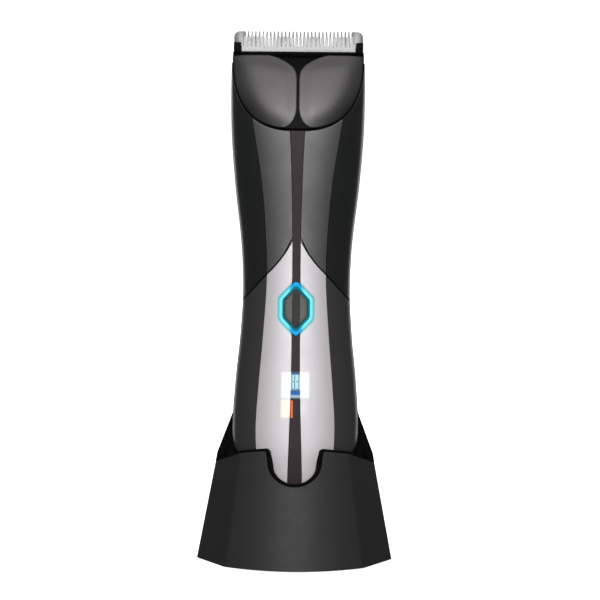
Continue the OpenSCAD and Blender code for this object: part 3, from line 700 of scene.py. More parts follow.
def lobe_material():
    """Gunmetal lacquer with painted shade that darkens it along the head's lower edge."""
    n = plastic("lobe_gloss", (0.105, 0.10, 0.10), 0.5, coat=0.05, coat_rough=0.35, metallic=0.7, vary=0.03,
                grain=0.03, flake=0.08)
    x = n.math("ABSOLUTE", n.axis(0))
    across = n.math("POWER", n.math("DIVIDE", x, ARC_W * MM), ARC_POWER)
    down = n.math("DIVIDE", n.math("SUBTRACT", ARC_Z * MM, n.axis(2)), ARC_DROP * MM)
    reach = n.math("POWER", n.math("ADD", across, n.math("POWER", down, ARC_POWER)), 1 / ARC_POWER)
    # Painted shade: up to 62% black near the head's lower edge, on the lower part and away from the centre.
    low = n.times(n.span(x, 0, 6 * MM), n.span(n.axis(2), 142 * MM, 153 * MM, 1, 0))
    n.tint(n.times(n.times(n.span(reach, 0.73, 1.0), low), 0.62), BLACK)
    return n


def strip_material():
    """Smoked gloss strip: lit ground behind the digits, darker round them."""
    n = plastic("strip_gloss", (0.036, 0.029, 0.031), 0.5, vary=0.05, grain=0.03, specular=0.1)
    display = n.box_mask(STRIP_BOX, 0.4)
    lit = n.span(n.axis(2), 55.6 * MM, 56.3 * MM)
    top = n.span(n.axis(2), 60.3 * MM, 61.0 * MM, 1, 0)
    low = n.span(n.axis(2), 54.1 * MM, 54.5 * MM, 1, 0)
    bright = n.math("MAXIMUM", n.times(lit, top), n.times(low, 0.6))
    n.feed("Emission Color", n.mix(bright, STRIP_DIM, STRIP_LIGHT))
    n.feed("Emission Strength", n.times(display, 0.85))
    return n


def ring_material():
    """Lit light guide: pale cyan, bluer where it crosses the centre strip."""
    n = plastic("ring_light", (0.004, 0.05, 0.07), 0.4, vary=0.03, grain=0.02, specular=0.15)
    tip = n.span(n.math("ABSOLUTE", n.axis(0)), 1.2 * MM, 2.6 * MM, 1, 0)
    n.feed("Emission Color", n.mix(tip, RING_CYAN, RING_BLUE))
    n.set(Emission_Strength=0.95)
    return n


def make_materials():
    made = {name: plastic(name, colour, rough, **more) for name, (colour, rough, more) in PLASTICS.items()}
    made.update({name: brushed(name, *look) for name, look in METALS.items()})
    made.update({name: glow(name, *look) for name, look in GLOWS.items()})
    made.update({"lobe_gloss": lobe_material(), "strip_gloss": strip_material(),
                 "silver_paint": silver_material(), "ring_light": ring_material()})
    return {name: n.material for name, n in made.items()}


MATERIALS = make_materials()


# ---------------------------------------------------------------- casing of the groomer

def side_patch(low, high, length):
    """Dark side of the casing, from the panel's edge round to the parting line, on the right."""
    a, z = region(lambda z: panel_edge(z, 0.1), lambda z: curve(HALF_W, z), low, high,
                  spaced(46, 14), spaced(130, length))
    return patch(a * (1 - PARTING) - PARTING, z, SHELL_WALL, EDGE)


def casing_liner(low, high, length, level=None):
    """Dark wall under the inlaid panels, on the right."""
    a, z = region(lambda z: hex_half_width(z, 0.15), lambda z: panel_edge(z, 0.6), low, high,
                  spaced(36, 20), spaced(130, length), level)
    return patch(a, z, LINER_WALL, 0.05, inset=LINER_DEPTH)


def chin_patch():
    """Casing between the bottom cap and the silver panels."""
    a, z = region(constant(0), constant(5.35), constant(SHELL_LOW), constant(PANEL_LOW + 0.35),
                  spaced(16, 5.3), spaced(12, 4.2))
    return patch(*both_halves(a, z), SHELL_WALL, EDGE)


def build_shells():
    upper = pair(side_patch(above_vee, shell_top, 75)) + pair(casing_liner(above_vee, shell_top, 48))
    piece("upper_casing", upper, "handle", "side_gloss", ["upper_front_shell"])
    sides = side_patch(constant(SHELL_LOW), below_vee, 68)
    liner = casing_liner(constant(SHELL_LOW), below_vee, 84, level=(87, 0.84))
    piece("lower_casing", pair(sides) + pair(liner) + [chin_patch()], "handle", "lower_side_gloss",
          ["lower_front_shell"])


def panel(inner, low, high, length, top_radius=EDGE, level=None):
    """Inlaid front panel on the right, between the centre strip and the dark side."""
    a, z = region(inner, lambda z: curve(PANEL_W, z) - 0.03, low, high,
                  spaced(56, 9), spaced(length * 3, length), level)
    points = skin(a, z, 0)
    dish = 0.06 * (1 - smooth(hex_distance(points[..., 0], z) / 1.2))
    edge_drop = rounded(border_distance(points), EDGE)
    drop = np.maximum(edge_drop, rounded(nearest(points, points[-1]), top_radius))
    return closed_grid(skin(a, z, drop + dish), skin(a, z, INLAY_WALL + dish))


def strip_edge(z):
    """Half-width of the gap between the panels, for the centre strip."""
    return curve(STRIP_W, z) + 0.03


def silver_inner(z):
    """Inner edge of the silver panels, which leaves room for the light ring."""
    return np.maximum(strip_edge(np.clip(z, PANEL_LOW, PANEL_TOP)), hex_half_width(z, RING_GAP))


def silver_top(x):
    """Upper edge of the silver panels, cut back towards its tip."""
    return below_vee(x) - 0.7 * np.exp(1.1 - np.abs(x) / 1.2)


def build_panels():
    upper = panel(strip_edge, above_vee, shell_top, 46, top_radius=0.4)
    piece_pair("upper_panel", upper, "handle", "upper_panel_paint")
    silver = panel(silver_inner, constant(INLAY_LOW), silver_top, 82, level=(87, 0.82))
    piece_pair("silver_panel", silver, "handle", "silver_paint")


def strip(low, high, length):
    """Dark centre strip, both halves."""
    a, z = region(constant(0), lambda z: curve(STRIP_W, z), low, high,
                  np.linspace(0, 1, 12), spaced(int(length * 1.5), length))
    return patch(*both_halves(a, z), INLAY_WALL, 0.08)


def build_strip():
    lower = strip(constant(INLAY_LOW), lambda x: BUTTON_Z - hex_half_height(x, RING_GAP), 52)
    upper = strip(lambda x: BUTTON_Z + hex_half_height(x, RING_GAP), shell_top, 47)
    piece("centre_strip_skin", [lower, upper], "handle", "strip_gloss", ["centre_strip"])


def build_back():
    """Soft-touch back shell with a field of fine grip ribs."""
    a, z = region(constant(0), lambda z: curve(HALF_W, z), constant(SHELL_LOW), shell_top,
                  spaced(44, 22), spaced(320, 143))
    a, z = both_halves(math.pi - PARTING + (1 - PARTING) * a, z, middle=math.pi / 2)
    base = skin(a, z, 0)
    field = smooth((RIB_FIELD - np.abs(base[..., 0]) - 0.0009 * (z - 80) ** 2) / 1.5)
    ribs = RIB_DEPTH * field * (0.5 - 0.5 * np.cos(2 * math.pi * z / RIB_PITCH))
    drop = rounded(border_distance(base), 0.22)
    shell = closed_grid(skin(a, z, drop + ribs), skin(a, z, SHELL_WALL))
    turns = np.linspace(-TONGUE_TURN, TONGUE_TURN, 7)
    a, z = np.meshgrid(turns, np.linspace(CAP_TOP + 0.6, SHELL_TOP - 1.5, 150))
    tongue = closed_grid(skin(a, z, 0.9), skin(a, z, 2.1))
    piece("back_casing", [shell] + pair(tongue), "handle", "back_soft", ["back_shell"])


def build_bottom_cap():
    angles = np.linspace(0, 2 * math.pi, 160, endpoint=False)
    rows = [(CAP_TOP - 0.1, 2.5), (CAP_TOP - 0.15, 0.25), (CAP_TOP - 0.35, 0.02), (14.6, 0), (13.4, 0.02),
            (12.9, 0.18), (12.45, 0.5), (12.15, 1.0), (TAIL_Z + 0.06, 1.7)]
    rings = [skin(angles, np.full_like(angles, z), inset) for z, inset in rows]
    rings += [rings[-1] * np.array([k, k, 1]) for k in (0.8, 0.5, 0.2)]
    piece("bottom_cap_skin", [lathe(rings)], "handle", "back_soft", ["bottom_cap"])


# ---------------------------------------------------------------- button, ring and display

def hex_loop(inset, radii):
    """Closed outline of the button, drawn in, with side corners and tips rounded to the two radii."""
    half_w, half_h = hex_size(inset)
    flat = half_h - half_w * SLANT_X / SLANT_Z
    corners = [(half_w, -flat), (half_w, flat), (0, half_h), (-half_w, flat), (-half_w, -flat), (0, -half_h)]
    points = []
    for i in range(6):
        before, at, after = (np.array(corners[j % 6]) for j in (i - 1, i, i + 1))
        u = (before - at) / np.linalg.norm(before - at)
        v = (after - at) / np.linalg.norm(after - at)
        half = math.acos(np.clip(np.dot(u, v), -1, 1)) / 2
        r = radii[i % 3 == 2]
        reach = r / math.tan(half)
        centre = at + (u + v) / np.linalg.norm(u + v) * r / math.sin(half)
        start, end = at + u * reach - centre, at + v * reach - centre
        turn = math.acos(np.clip(np.dot(start, end) / r ** 2, -1, 1))
        for t in np.linspace(0, 1, 26):
            along = start * math.sin((1 - t) * turn) + end * math.sin(t * turn)
            points.append(centre + along / math.sin(turn))
    return np.array(points)


def hex_rings(section, radii):
    """Loops on the casing's front from a section of (inset, depth)."""
    rings = []
    for inset, depth in section:
        x, z = hex_loop(inset, radii).T + np.array([[0], [BUTTON_Z]])
        rings.append(np.column_stack([x, front_y(x, z) + depth, z]))
    return rings


def button_stripe():
    """Dark stripe down the middle of the button, pointed at both ends."""
    u, v = np.meshgrid(np.linspace(-1, 1, 8), np.linspace(-1, 1, 40))
    x = u * STRIPE_HALF_W
    z = BUTTON_Z + v * (STRIPE_HALF_H - 1.057 * np.abs(x))
    front = np.stack([x, front_y(x, z) - 0.13, z], -1)
    front[..., 1] += rounded(border_distance(front), 0.05)
    return closed_grid(front, front + np.array([0, 0.35, 0]))


def build_button():
    ring = lathe(hex_rings(RING_SECTION, RING_RADII), cap_ends=False)
    piece("light_ring_glow", [ring], "handle", "ring_light", ["light_ring"], smooth_angle=60)
    gasket = lathe(hex_rings(GASKET_SECTION, GASKET_RADII), cap_ends=False)
    # The rubber gasket glows teal: painted light from the light ring.
    piece("button_gasket", [gasket], "handle", "gasket_painted_ring_light", ["button_seal"], slot="seal_rubber")
    button = lathe(hex_rings(BUTTON_RIM, GASKET_RADII) + hex_rings(BUTTON_FACE, FACE_RADII))
    piece("button_cap", [button], "button", "button_satin", ["power_button"], smooth_angle=50)
    piece("button_stripe", [button_stripe()], "button", "button_stripe", slot="button_satin")


def surface_bar(x0, x1, z0, z1):
    """Thin raised plate on the casing's front."""
    x, z = np.meshgrid(np.linspace(x0, x1, 6), np.linspace(z0, z1, 8))
    front = np.stack([x, front_y(x, z) - BAR_LIFT, z], -1)
    return closed_grid(front, front + np.array([0, BAR_WALL, 0]))


def digit(centre, lit):
    """Seven-segment figure made of raised bars."""
    x0, x1 = centre - DIGIT_W / 2, centre + DIGIT_W / 2
    z0, z1, middle = DIGIT_Z, DIGIT_Z + DIGIT_H, DIGIT_Z + DIGIT_H / 2
    across, left, right = (x0 + 0.1, x1 - 0.1), (x0, x0 + SEGMENT), (x1 - SEGMENT, x1)
    low, high = (z0 + 0.2, middle - 0.18), (middle + 0.18, z1 - 0.2)
    bars = {"top": (*across, z1 - SEGMENT, z1), "bottom": (*across, z0, z0 + SEGMENT),
            "middle": (*across, middle - SEGMENT / 2, middle + SEGMENT / 2),
            "top_left": (*left, *high), "top_right": (*right, *high),
            "low_left": (*left, *low), "low_right": (*right, *low)}
    return [surface_bar(*bars[name]) for name in lit]


def build_display():
    eight = ("top", "middle", "bottom", "top_left", "top_right", "low_left", "low_right")
    three = ("top", "middle", "bottom", "top_right", "low_right")
    digits = digit(-DIGIT_X, eight) + digit(DIGIT_X, three)
    icon = [surface_bar(*sides) for sides in ((-1.1, 1.1, 54.75, 55.15), (-0.45, 0.45, 54.4, 54.75),
                                              (-0.45, 0.45, 55.15, 55.55))]
    piece("display_digits", digits, "handle", "digit_light", slot="display_white")
    piece("display_icon", icon, "handle", "icon_light", slot="display_white")
    bar = surface_bar(-1.36, -0.75, 47.2, 52.6)
    piece("charge_bar", [bar], "handle", "bar_light", slot="display_white")


# ---------------------------------------------------------------- blade head

def build_head():
    """Gloss black bib behind the lobes, running through to the head's back."""
    us = np.linspace(-1, 1, 120)
    us = np.sign(us) * (1 - (1 - np.abs(us)) ** 1.5)
    u, v = np.meshgrid(us, spaced(70, 24))
    z = ARC_Z - ARC_DROP + 0.02 + (HEAD_TOP - 0.12 - ARC_Z + ARC_DROP) * v ** 1.6
    x = u * np.minimum(arc_half_width(z), curve(HALF_W, z) - 0.02)
    front = np.stack([x, front_y(x, z), z], -1)
    back = np.stack([x, skin(-angle_at(x, z), z, 0)[..., 1], z], -1)
    edge = border_distance(front)
    front[..., 1] += 1.3 * smooth((edge - 0.1) / 0.4) + rounded(edge, 0.25)
    back[..., 1] -= rounded(border_distance(back), 0.25)
    piece("head_casing", [closed_grid(front, back)], "head", "head_gloss", ["head_shell"])


def lobe():
    """Raised right lobe: its inner edge runs beside the centre and flares away at both ends."""
    vs = np.concatenate([np.linspace(0, 1, 90) ** 2 * 0.25, np.linspace(0.25, 1, 110)[1:]])
    u, v = np.meshgrid(spaced(70, 18, 1.4), vs)
    low, high = 136.95, HEAD_TOP - 0.15
    z = low + (high - low) * v
    below = np.clip((143.4 - z) / 6.6, 0, 1)
    # Inner edge near the lobe's top, as (distance below it, half-width)
    flare = [(0, 10.2), (0.25, 8.8), (1.1, 6.1), (2.6, 3.2), (4.7, 1.05), (7.5, 0.3), (9, 0.27), (30, 0.27)]
    x0 = 4.8 * (1 - np.sqrt(1 - below ** 2)) + curve(flare, high - z)
    x1 = np.maximum(np.minimum(arc_half_width(z, -0.2), curve(HALF_W, z) - 0.15), x0 + 0.02)
    x = x0 + (x1 - x0) * u
    front = np.stack([x, front_y(x, z), z], -1)
    back = front + np.array([0, 1.9, 0])
    edge = border_distance(front)
    arc_x = np.linspace(0, ARC_W - 0.2, 240)
    from_arc = nearest(front[..., [0, 2]], np.column_stack([arc_x, arc_height(arc_x, -0.2)]))
    turned = 0.7 * np.clip(1 - from_arc / 7, 0, 1) ** 2
    front[..., 1] += rounded(edge, 0.5) * 0.7 - 0.3 * smooth(edge / 5) + turned
    return closed_grid(front, back)


def build_lobes():
    piece_pair("lobe", lobe(), "head", "lobe_gloss", smooth_angle=50)


def build_frame():
    """Black blade frame: an oval band with a slot, two posts and the plate behind the comb."""
    angles = np.linspace(0, 2 * math.pi, 200, endpoint=False)
    low, high = HEAD_TOP + 0.05, HEAD_TOP + 0.9
    rings = []
    for rise, inset in ((0, 0.45), (0.08, 0.25), (0.2, 0.2), (0.65, 0.2), (0.77, 0.25), (0.85, 0.45)):
        rings.append(skin(angles, np.full_like(angles, HEAD_TOP), inset))
        rings[-1][:, 2] = low + rise
    slot_x, slot_y0, slot_y1 = 19.4, 1.9, 4.5
    slot = np.column_stack([np.clip(rings[0][:, 0] * 1.2, -slot_x, slot_x),
                            np.where(rings[0][:, 1] > 0, slot_y1, slot_y0), 0 * angles])
    parts = [lathe([slot + [0, 0, low]] + rings + [slot + [0, 0, high]], cap_ends=False)]
    parts += [block((-13.4, 4.5, 146), (13.4, 5.5, 160.6)), block((-20.2, 4.5, 161), (20.2, 5.9, 163.4))]
    for x0, x1, y0, y1 in ((-20.4, -18.15, -0.6, 1.9), (-20.4, -19.45, 1.9, 4.5), (18.15, 20.4, -0.6, 1.9),
                           (19.45, 20.4, 1.9, 4.5)):
        parts.append(block((x0, y0, 160.9), (x1, y1, 164.3)))
    piece("blade_frame_body", parts, "head", "frame_black", ["blade_frame"], smooth_angle=40,
          bevel=(0.14, 50, 3))


def teeth(first, last, pitch, profile):
    """Outline over a row of teeth, each with a profile of (half-width, height) from its root to its tip."""
    points = []
    for i in range(first, last):
        x = (i + 0.5) * pitch
        points += [(x - w, z) for w, z in profile] + [(x + w, z) for w, z in reversed(profile)]
    return points


def comb_outline():
    """Steel comb: fine pointed teeth between two rounded corner guards."""
    guard = COMB_HALF_TEETH * COMB_PITCH + 0.2
    right = teeth(0, COMB_HALF_TEETH, COMB_PITCH, COMB_TOOTH)
    right += [(guard, COMB_ROOT), (guard, COMB_TOP - 0.5), (guard + 0.3, COMB_TOP)]
    right += [(GUARD_X + GUARD_R * math.cos(t), COMB_TOP - GUARD_R + GUARD_R * math.sin(t))
              for t in np.linspace(math.pi / 2, 0, 12)]
    right += [(20.4, 164.4), (19.3, 164.4), (19.3, 161.3), (16.7, 161.3), (16.7, 149.6)]
    return [(-x, z) for x, z in reversed(right)] + right


def cutter_outline():
    """Ceramic blade: blunt teeth along a plain plate."""
    side = [(16.2, 155), (16.2, 161.3), (18, 161.3), (18, CUTTER_ROOT + 0.3), (17.9, CUTTER_ROOT + 2.6)]
    row = teeth(-CUTTER_HALF_TEETH, CUTTER_HALF_TEETH, CUTTER_PITCH, CUTTER_TOOTH)
    return [(-x, z) for x, z in side] + row + side[::-1]


def build_blades():
    comb = sloped_plate(comb_outline(), COMB_FRONT, COMB_THICK, COMB_TAPER_Z, COMB_TAPER)
    piece("comb_blade", [comb], "head", "comb_steel", ["fixed_blade"], smooth_angle=25, bevel=(0.05, 40, 2))
    cutter = sloped_plate(cutter_outline(), CUTTER_FRONT, CUTTER_THICK, CUTTER_TAPER_Z, CUTTER_TAPER)
    piece("ceramic_blade", [cutter], "cutter", "blade_ceramic", ["moving_blade"], smooth_angle=25,
          bevel=(0.06, 40, 2))


# ---------------------------------------------------------------- dock

def wall_place(z, inset, foot, rim, inward, rest=None, top=None, top_inward=None):
    """Place in X and Y at height z of one line up the dock's wall."""
    moved = np.array(inward) * inset
    t = ((z - DOCK_Z0) / (DOCK_Z1 - DOCK_Z0))[..., None]
    lower = between(foot, rim, t) + moved
    if rest is None:
        return lower
    up = np.clip((z - REST_Z) / (DOCK_TOP - REST_Z), 0, 1)[..., None]
    upper = between(np.array(rest) + moved, np.array(top) + np.array(top_inward) * inset, up)
    return np.where(z[..., None] > REST_Z, upper, lower)


def dock_plan(s, z, inset):
    """Dock wall at outline parameter s (0-2 front, 3 right corner, 4-6 back, 7 left corner) and height z."""
    side, front_corner, front, back_corner, back = (
        wall_place(z, inset, **line)
        for line in (DOCK_SIDE, DOCK_FRONT_CORNER, DOCK_FRONT, DOCK_BACK_CORNER, DOCK_BACK))
    flip = np.where((s > 5) | (s < 1), -1.0, 1.0)
    s = np.where(s > 5, 10 - s, s)
    s = np.where(s < 1, 2 - s, s)[..., None]
    t = np.clip(s - 1, 0, 1)
    bowed_front = front + (front_corner - front) * np.concatenate([t, t ** 2], -1)
    facet = between(front_corner, side, np.clip(s - 2, 0, 1))
    rear = between(side, back_corner, np.clip(s - 3, 0, 1))
    t = np.clip(5 - s, 0, 1)
    bowed_back = back + (back_corner - back) * np.concatenate([t, t ** 2], -1)
    plan = np.where(s <= 2, bowed_front, np.where(s <= 3, facet, np.where(s <= 4, rear, bowed_back)))
    return np.stack([plan[..., 0] * flip, plan[..., 1], z], -1)


def dock_point(s, z, inset):
    """Dock wall with the edges between its faces rounded."""
    s, z = np.broadcast_arrays(np.asarray(s, float), np.asarray(z, float))
    points = dock_plan(s, z, inset)
    for corner in (2, 3, 4, 6, 7, 8):
        k = ((s - corner + CORNER_S) / (2 * CORNER_S))[..., None]
        before, at, after = (dock_plan(np.full_like(s, corner + step), z, inset)
                             for step in (-CORNER_S, 0, CORNER_S))
        blend = (1 - k) ** 2 * before + 2 * k * (1 - k) * at + k * k * after
        points = np.where((k > 0) & (k < 1), blend, points)
    return points


def wall_point(s, z, inset):
    """One point of the dock's wall."""
    return dock_point(np.array([s]), np.array([z]), inset)[0]


def rim_height(s):
    z = np.full_like(s, 36.0)
    for _ in range(12):
        z = RIM_Z - RIM_SLOPE * dock_point(s, z, 0)[..., 1]
    return z


def notch_side():
    """Right half of the notch in the front rim, from its lowest point out to the rim: (s, z) points."""
    cx = NOTCH_W + NOTCH_LEAN + NOTCH_FILLET
    scale = wall_place(np.array(37.0), 0, **DOCK_FRONT_CORNER)[0]
    top = float(rim_height(np.array([1 + cx / scale]))[0])
    lower = [(NOTCH_W * math.cos(t), NOTCH_Z + NOTCH_DROP * math.sin(t))
             for t in np.linspace(-math.pi / 2, 0, 44)]
    straight = [(NOTCH_W + NOTCH_LEAN * k, NOTCH_Z + (top - NOTCH_FILLET - NOTCH_Z) * k)
                for k in np.linspace(0.2, 1, 7)]
    corner = [(cx - NOTCH_FILLET * math.cos(t), top - NOTCH_FILLET + NOTCH_FILLET * math.sin(t))
              for t in np.linspace(0.15, math.pi / 2, 10)]
    x, z = np.array(lower + straight + corner).T
    return np.column_stack([1 + x / wall_place(z, 0, **DOCK_FRONT_CORNER)[..., 0], z])


def around(corner):
    return [corner + CORNER_S * k for k in (-1, -0.7, -0.4, -0.15, 0.15, 0.4, 0.7, 1)]


def dock_columns():
    """Right half of the wall's columns: (s at the foot, s at the top, top), then s along the back rest."""
    notch = notch_side()
    steps = np.hypot(np.diff(notch[:, 0]) * FRONT_REACH, np.diff(notch[:, 1]))
    path = np.concatenate([[0], np.cumsum(steps)])
    foot = 1 + (notch[-1, 0] - 1) * path / path[-1]
    columns = list(zip(foot, notch[:, 0], notch[:, 1]))
    front = np.linspace(notch[-1, 0], 2 - CORNER_S, 30)[1:-1]
    facet = np.linspace(2 + CORNER_S, 3 - CORNER_S, 16)[1:-1]
    sides = np.concatenate([front, around(2), facet, around(3)[:4], [3]])
    columns += list(zip(sides, sides, rim_height(sides)))
    back = np.concatenate([around(3)[4:], np.linspace(3 + CORNER_S, 4 - CORNER_S, 16)[1:-1], around(4),
                           np.linspace(4 + CORNER_S, 5, 24)[1:]])
    return np.array(columns), back


def dock_layout():
    """All columns of the lower wall, how many come before the back rest, and the rest's s and heights."""
    right, back = dock_columns()
    join = right[-1, 2]
    middle = [(s, s, join) for s in np.concatenate([back, 10 - back[:-1][::-1]])]
    left = [(10 - foot, 10 - top, z) for foot, top, z in right[1:][::-1]]
    columns = np.array(list(right) + middle + left)
    n = len(right)
    span = columns[n - 1:n + len(middle) + 1, 1]
    heights = np.concatenate([np.linspace(join, REST_Z, 5), np.linspace(REST_Z, DOCK_TOP - 0.01, 34)[1:]])
    return columns, n, span, heights


def dock_walls(columns, span, heights, inset):
    """Grid of the whole lower wall and grid of the back rest above it, at an inset."""
    v = np.concatenate([[0, 0.01], np.linspace(0.03, 0.96, 44), [0.985, 1]])[:, None]
    foot, top, high = columns.T[:, None, :]
    lower = dock_point(foot + (top - foot) * v, DOCK_Z0 + (high - DOCK_Z0) * v, inset)
    return lower, dock_point(span[None, :], heights[:, None], inset)


def unit(v):
    return v / np.maximum(np.linalg.norm(v, axis=-1, keepdims=True), 1e-9)


def rim_frame(columns, n, span, heights):
    """The rim as a closed path: s, points, each point's outward normal and its direction down the wall."""
    rise, width = len(heights) - 1, len(span)
    s = np.concatenate([columns[:n, 1], np.full(rise, span[0]), span[1:], np.full(rise, span[-1]),
                        columns[n + width - 1:, 1]])
    z = np.concatenate([columns[:n, 2], heights[1:], np.full(width - 1, heights[-1]), heights[-2::-1],
                        columns[n + width - 1:, 2]])
    points = dock_point(s, z, 0)
    normal = unit(dock_point(s, z, -0.5) - points)
    normal[:, 2] = 0
    normal = unit(normal)
    tangent = unit(np.roll(points, -1, axis=0) - np.roll(points, 1, axis=0))
    down = unit(np.cross(tangent, normal))
    return s, points, normal, down * np.sign(-down[:1, 2:3])


def rim_rows(points, normal, down):
    """Rounded rim of the wall, from its outer face over to its inner face."""
    rows = [(RIM_RADIUS * (1 - math.sin(t)), RIM_RADIUS * (1 - math.cos(t)))
            for t in np.linspace(0, math.pi / 2, 5)]
    rows += [(0, DOCK_WALL - RIM_RADIUS), (RIM_RADIUS, DOCK_WALL)]
    return np.array([points + down * along - normal * across for along, across in rows])


def build_dock():
    """Outer wall, inner wall and the rounded rim between them as one closed mesh, and the rim's lip."""
    columns, n, span, heights = dock_layout()
    s, points, normal, down = rim_frame(columns, n, span, heights)
    rim = rim_rows(points, normal, down)
    parts = [wrapped(rim)]
    feet = []
    rise, width = len(heights) - 1, len(span)
    for inset, edge in ((0, rim[0]), (DOCK_WALL, rim[-1])):
        lower, upper = dock_walls(columns, span, heights, inset)
        lower[-1, :n] = edge[:n]
        upper[0, 0] = edge[n - 1]
        upper[1:, 0] = edge[n:n + rise]
        upper[-1, 1:] = edge[n + rise:n + rise + width - 1]
        upper[-2::-1, -1] = edge[n + rise + width - 1:n + 2 * rise + width - 1]
        lower[-1, n + width - 2:] = edge[n + 2 * rise + width - 2:]
        lower[-1, n - 1:n - 1 + width] = upper[0]
        parts += [wrapped(lower), (upper.reshape(-1, 3), grid_faces(*upper.shape[:2]))]
        feet.append(lower[0])
    parts.append(wrapped(np.array(feet)))
    piece("dock_body", parts, "dock", "dock_plastic", ["dock_shell"], smooth_angle=34)

    from_front = np.minimum(s - 1, 9 - s)
    wide = (0.45 + 0.1 * smooth((0.62 - from_front) / 0.08))[:, None]
    loops = [points + down * (a * wide if a > 0 else a) + normal * b for a, b in LIP_SECTION]
    piece("cradle_lip", [lathe(loops, cap_ends=False)], "dock", "cradle_plastic", smooth_angle=50)


def lining_columns():
    """Right half of the lining's columns, from front to back: (wall point, casing angle, height)."""
    columns = []
    for foot, s, z in dock_columns()[0]:
        angle = -math.pi / 2 + math.radians(58) * min(s - 1, 1) + math.radians(34) * max(s - 2, 0)
        columns.append((wall_point(s, z - CRADLE_DROP, DOCK_WALL + 0.02), angle, z - CRADLE_DROP))
    top = DOCK_TOP - 0.4
    for z in np.linspace(REST_Z - 1.4, top, 30):
        y = 2.2 + max(z - REST_Z, 0) * 13.2 / (DOCK_TOP - REST_Z)
        depth = float(curve(BACK_D, z)) + CRADLE_GAP
        angle = math.asin(min(0.9999, (y / depth) ** (float(curve(POWER, z)) / 2)))
        columns.append((wall_point(3.0, z, DOCK_WALL + 0.02) + np.array([0, 1.2, 0]), angle, z))
    for k in np.linspace(0, 1, 40)[1:]:
        columns.append((wall_point(3 + 2 * k, top, DOCK_WALL - 0.3), angle + (math.pi / 2 - angle) * k, top))
    return columns


def build_cradle():
    """Black lining between the dock's wall and the groomer, down to the well's floor."""
    grid = []
    for wall, angle, z in lining_columns():
        zs = z - 0.15 - (z - 0.65 - CRADLE_FLOOR) * np.linspace(0, 1, 14)
        inside = skin(np.full_like(zs, angle), np.maximum(zs, TAIL_Z), -CRADLE_GAP)
        inside[:, 2] = zs
        lip = skin(np.array([angle]), np.array([z]), -CRADLE_GAP - 0.15)[0]
        grid.append(np.vstack([wall, between(wall, lip, 0.3), between(wall, lip, 0.7), lip, inside]))
    half = np.array(grid).transpose(1, 0, 2)
    other = half[:, ::-1] * np.array([-1, 1, 1])
    lining = wrapped(np.concatenate([half, other[:, 1:-1]], axis=1))
    piece("cradle_lining", [lining], "dock", "cradle_plastic", ["cradle_insert"], smooth_angle=40,
          thickness=CRADLE_WALL)


def build_cradle_floor():
    """Floor of the well with a hole for each contact pin."""
    angles = np.linspace(0, 2 * math.pi, 120, endpoint=False)
    outline = skin(angles, np.full_like(angles, TAIL_Z), -CRADLE_GAP - 0.7)[:, :2]
    circle = CONTACT_HOLE_R * np.column_stack([np.cos(angles[::3]), np.sin(angles[::3])])
    holes = [circle + np.array([x, 0]) for x in (-CONTACT_X, CONTACT_X)]
    floor = flat_plate(outline, holes, CRADLE_FLOOR - FLOOR_THICK, CRADLE_FLOOR)
    piece("cradle_floor", [floor], "dock", "cradle_plastic")


# ---------------------------------------------------------------- studio

LENS, SENSOR = 122.4, 36
CAMERA_DISTANCE, CAMERA_HEIGHT = 646.2, 114
CAMERA_TURN, CAMERA_ROLL = 0.23, 0.5  # degrees
TARGET = (1.15, 0, 83.1)
AMBIENT, BACKDROP = 0.10, 1.05  # strength of the world for the object and for the camera
# Area lights: name, place, aim, width and height in millimetres, power in watts
LIGHTS = [
    ("front_soft", (0, -900, 260), (0, 0, 85), 300, 800, 8.5),
    ("left_edge", (-480, 900, 200), (0, 0, 90), 200, 900, 0.6),
    ("right_edge", (480, 900, 200), (0, 0, 90), 200, 900, 0.6),
    ("back_soft", (0, 900, 500), (0, 0, 90), 500, 500, 5.0),
    ("top_soft", (0, -420, 760), (0, 0, 120), 420, 420, 1.4),
]
# Floor in metres: half-width, where it starts to curve up, radius of the curve, top of the wall behind
FLOOR_HALF, FLOOR_BACK, FLOOR_CURVE, WALL_TOP = 3.0, 0.8, 0.5, 2.4


def aimed(place, aim):
    """Rotation that turns a camera or light at a place towards an aim."""
    return (aim - place).to_track_quat("-Z", "Y")


def build_camera(scene):
    camera = bpy.data.objects.new("camera", bpy.data.cameras.new("camera"))
    camera.data.lens = LENS
    camera.data.sensor_width = SENSOR
    azimuth = math.radians(CAMERA_TURN)
    place = Vector((CAMERA_DISTANCE * math.sin(azimuth) + TARGET[0], -CAMERA_DISTANCE * math.cos(azimuth),
                    CAMERA_HEIGHT)) * MM
    look = aimed(place, Vector(TARGET) * MM).to_matrix().to_4x4()
    roll = Matrix.Rotation(math.radians(CAMERA_ROLL), 4, "Z")
    camera.matrix_world = Matrix.Translation(place) @ look @ roll
    scene.collection.objects.link(camera)
    scene.camera = camera


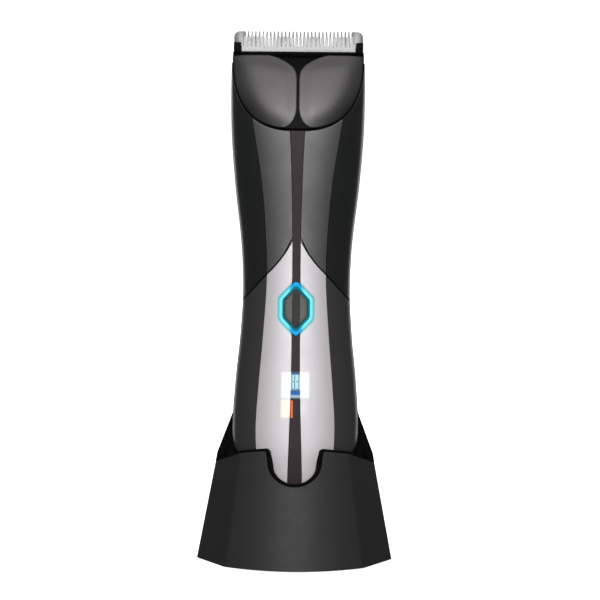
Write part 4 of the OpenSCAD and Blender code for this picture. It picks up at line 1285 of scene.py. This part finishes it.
def build_world(scene):
    world = bpy.data.worlds.new("studio")
    world.use_nodes = True
    scene.world = world
    tree = world.node_tree
    background = tree.nodes["Background"]
    path = tree.nodes.new("ShaderNodeLightPath")
    strength = tree.nodes.new("ShaderNodeMapRange")
    strength.inputs["To Min"].default_value = AMBIENT
    strength.inputs["To Max"].default_value = BACKDROP
    tree.links.new(path.outputs["Is Camera Ray"], strength.inputs["Value"])
    tree.links.new(strength.outputs["Result"], background.inputs["Strength"])
    background.inputs["Color"].default_value = (1, 1, 1, 1)


def build_lights(scene):
    for name, place, aim, width, height, watts in LIGHTS:
        light = bpy.data.lights.new(name, "AREA")
        light.energy = watts
        light.shape = "RECTANGLE"
        light.size = width * MM
        light.size_y = height * MM
        obj = bpy.data.objects.new(name, light)
        obj.location = Vector(place) * MM
        obj.rotation_euler = aimed(obj.location, Vector(aim) * MM).to_euler()
        scene.collection.objects.link(obj)


def build_floor(scene):
    mesh = bpy.data.meshes.new("floor")
    turns = np.linspace(0, math.pi / 2, 16)
    profile = [(-FLOOR_HALF, 0)]
    profile += [(FLOOR_BACK + FLOOR_CURVE * math.sin(t), FLOOR_CURVE * (1 - math.cos(t))) for t in turns]
    profile.append((FLOOR_BACK + FLOOR_CURVE, WALL_TOP))
    points = [(x, y, z) for y, z in profile for x in (-FLOOR_HALF, FLOOR_HALF)]
    mesh.from_pydata(points, [], [(2 * i, 2 * i + 1, 2 * i + 3, 2 * i + 2) for i in range(len(profile) - 1)])
    backdrop = bpy.data.objects.new("floor", mesh)
    scene.collection.objects.link(backdrop)
    n = Nodes("floor_white")
    n.set(Base_Color=(0.85, 0.85, 0.85, 1), Roughness=0.9)
    n.set(Emission_Color=(1, 1, 1, 1), Emission_Strength=1.0)
    mesh.materials.append(n.material)
    backdrop.visible_diffuse = False
    backdrop.visible_glossy = False


def build_studio():
    scene = bpy.context.scene
    scene.view_settings.view_transform = "Standard"
    scene.view_settings.look = "None"
    build_camera(scene)
    build_world(scene)
    build_lights(scene)
    build_floor(scene)


def finish_cad_nodes():
    """The CAD parts that stay get a procedural material of their record's slot."""
    slots = {row["node"]: row["material_slot"] for row in frame["record"]["subparts"]}
    for name, obj in frame["nodes"].items():
        for slot in obj.material_slots:
            slot.material = MATERIALS[slots[name]]


finish_cad_nodes()
build_studio()
build_shells()
build_panels()
build_strip()
build_back()
build_bottom_cap()
build_button()
build_display()
build_head()
build_lobes()
build_frame()
build_blades()
build_dock()
build_cradle()
build_cradle_floor()
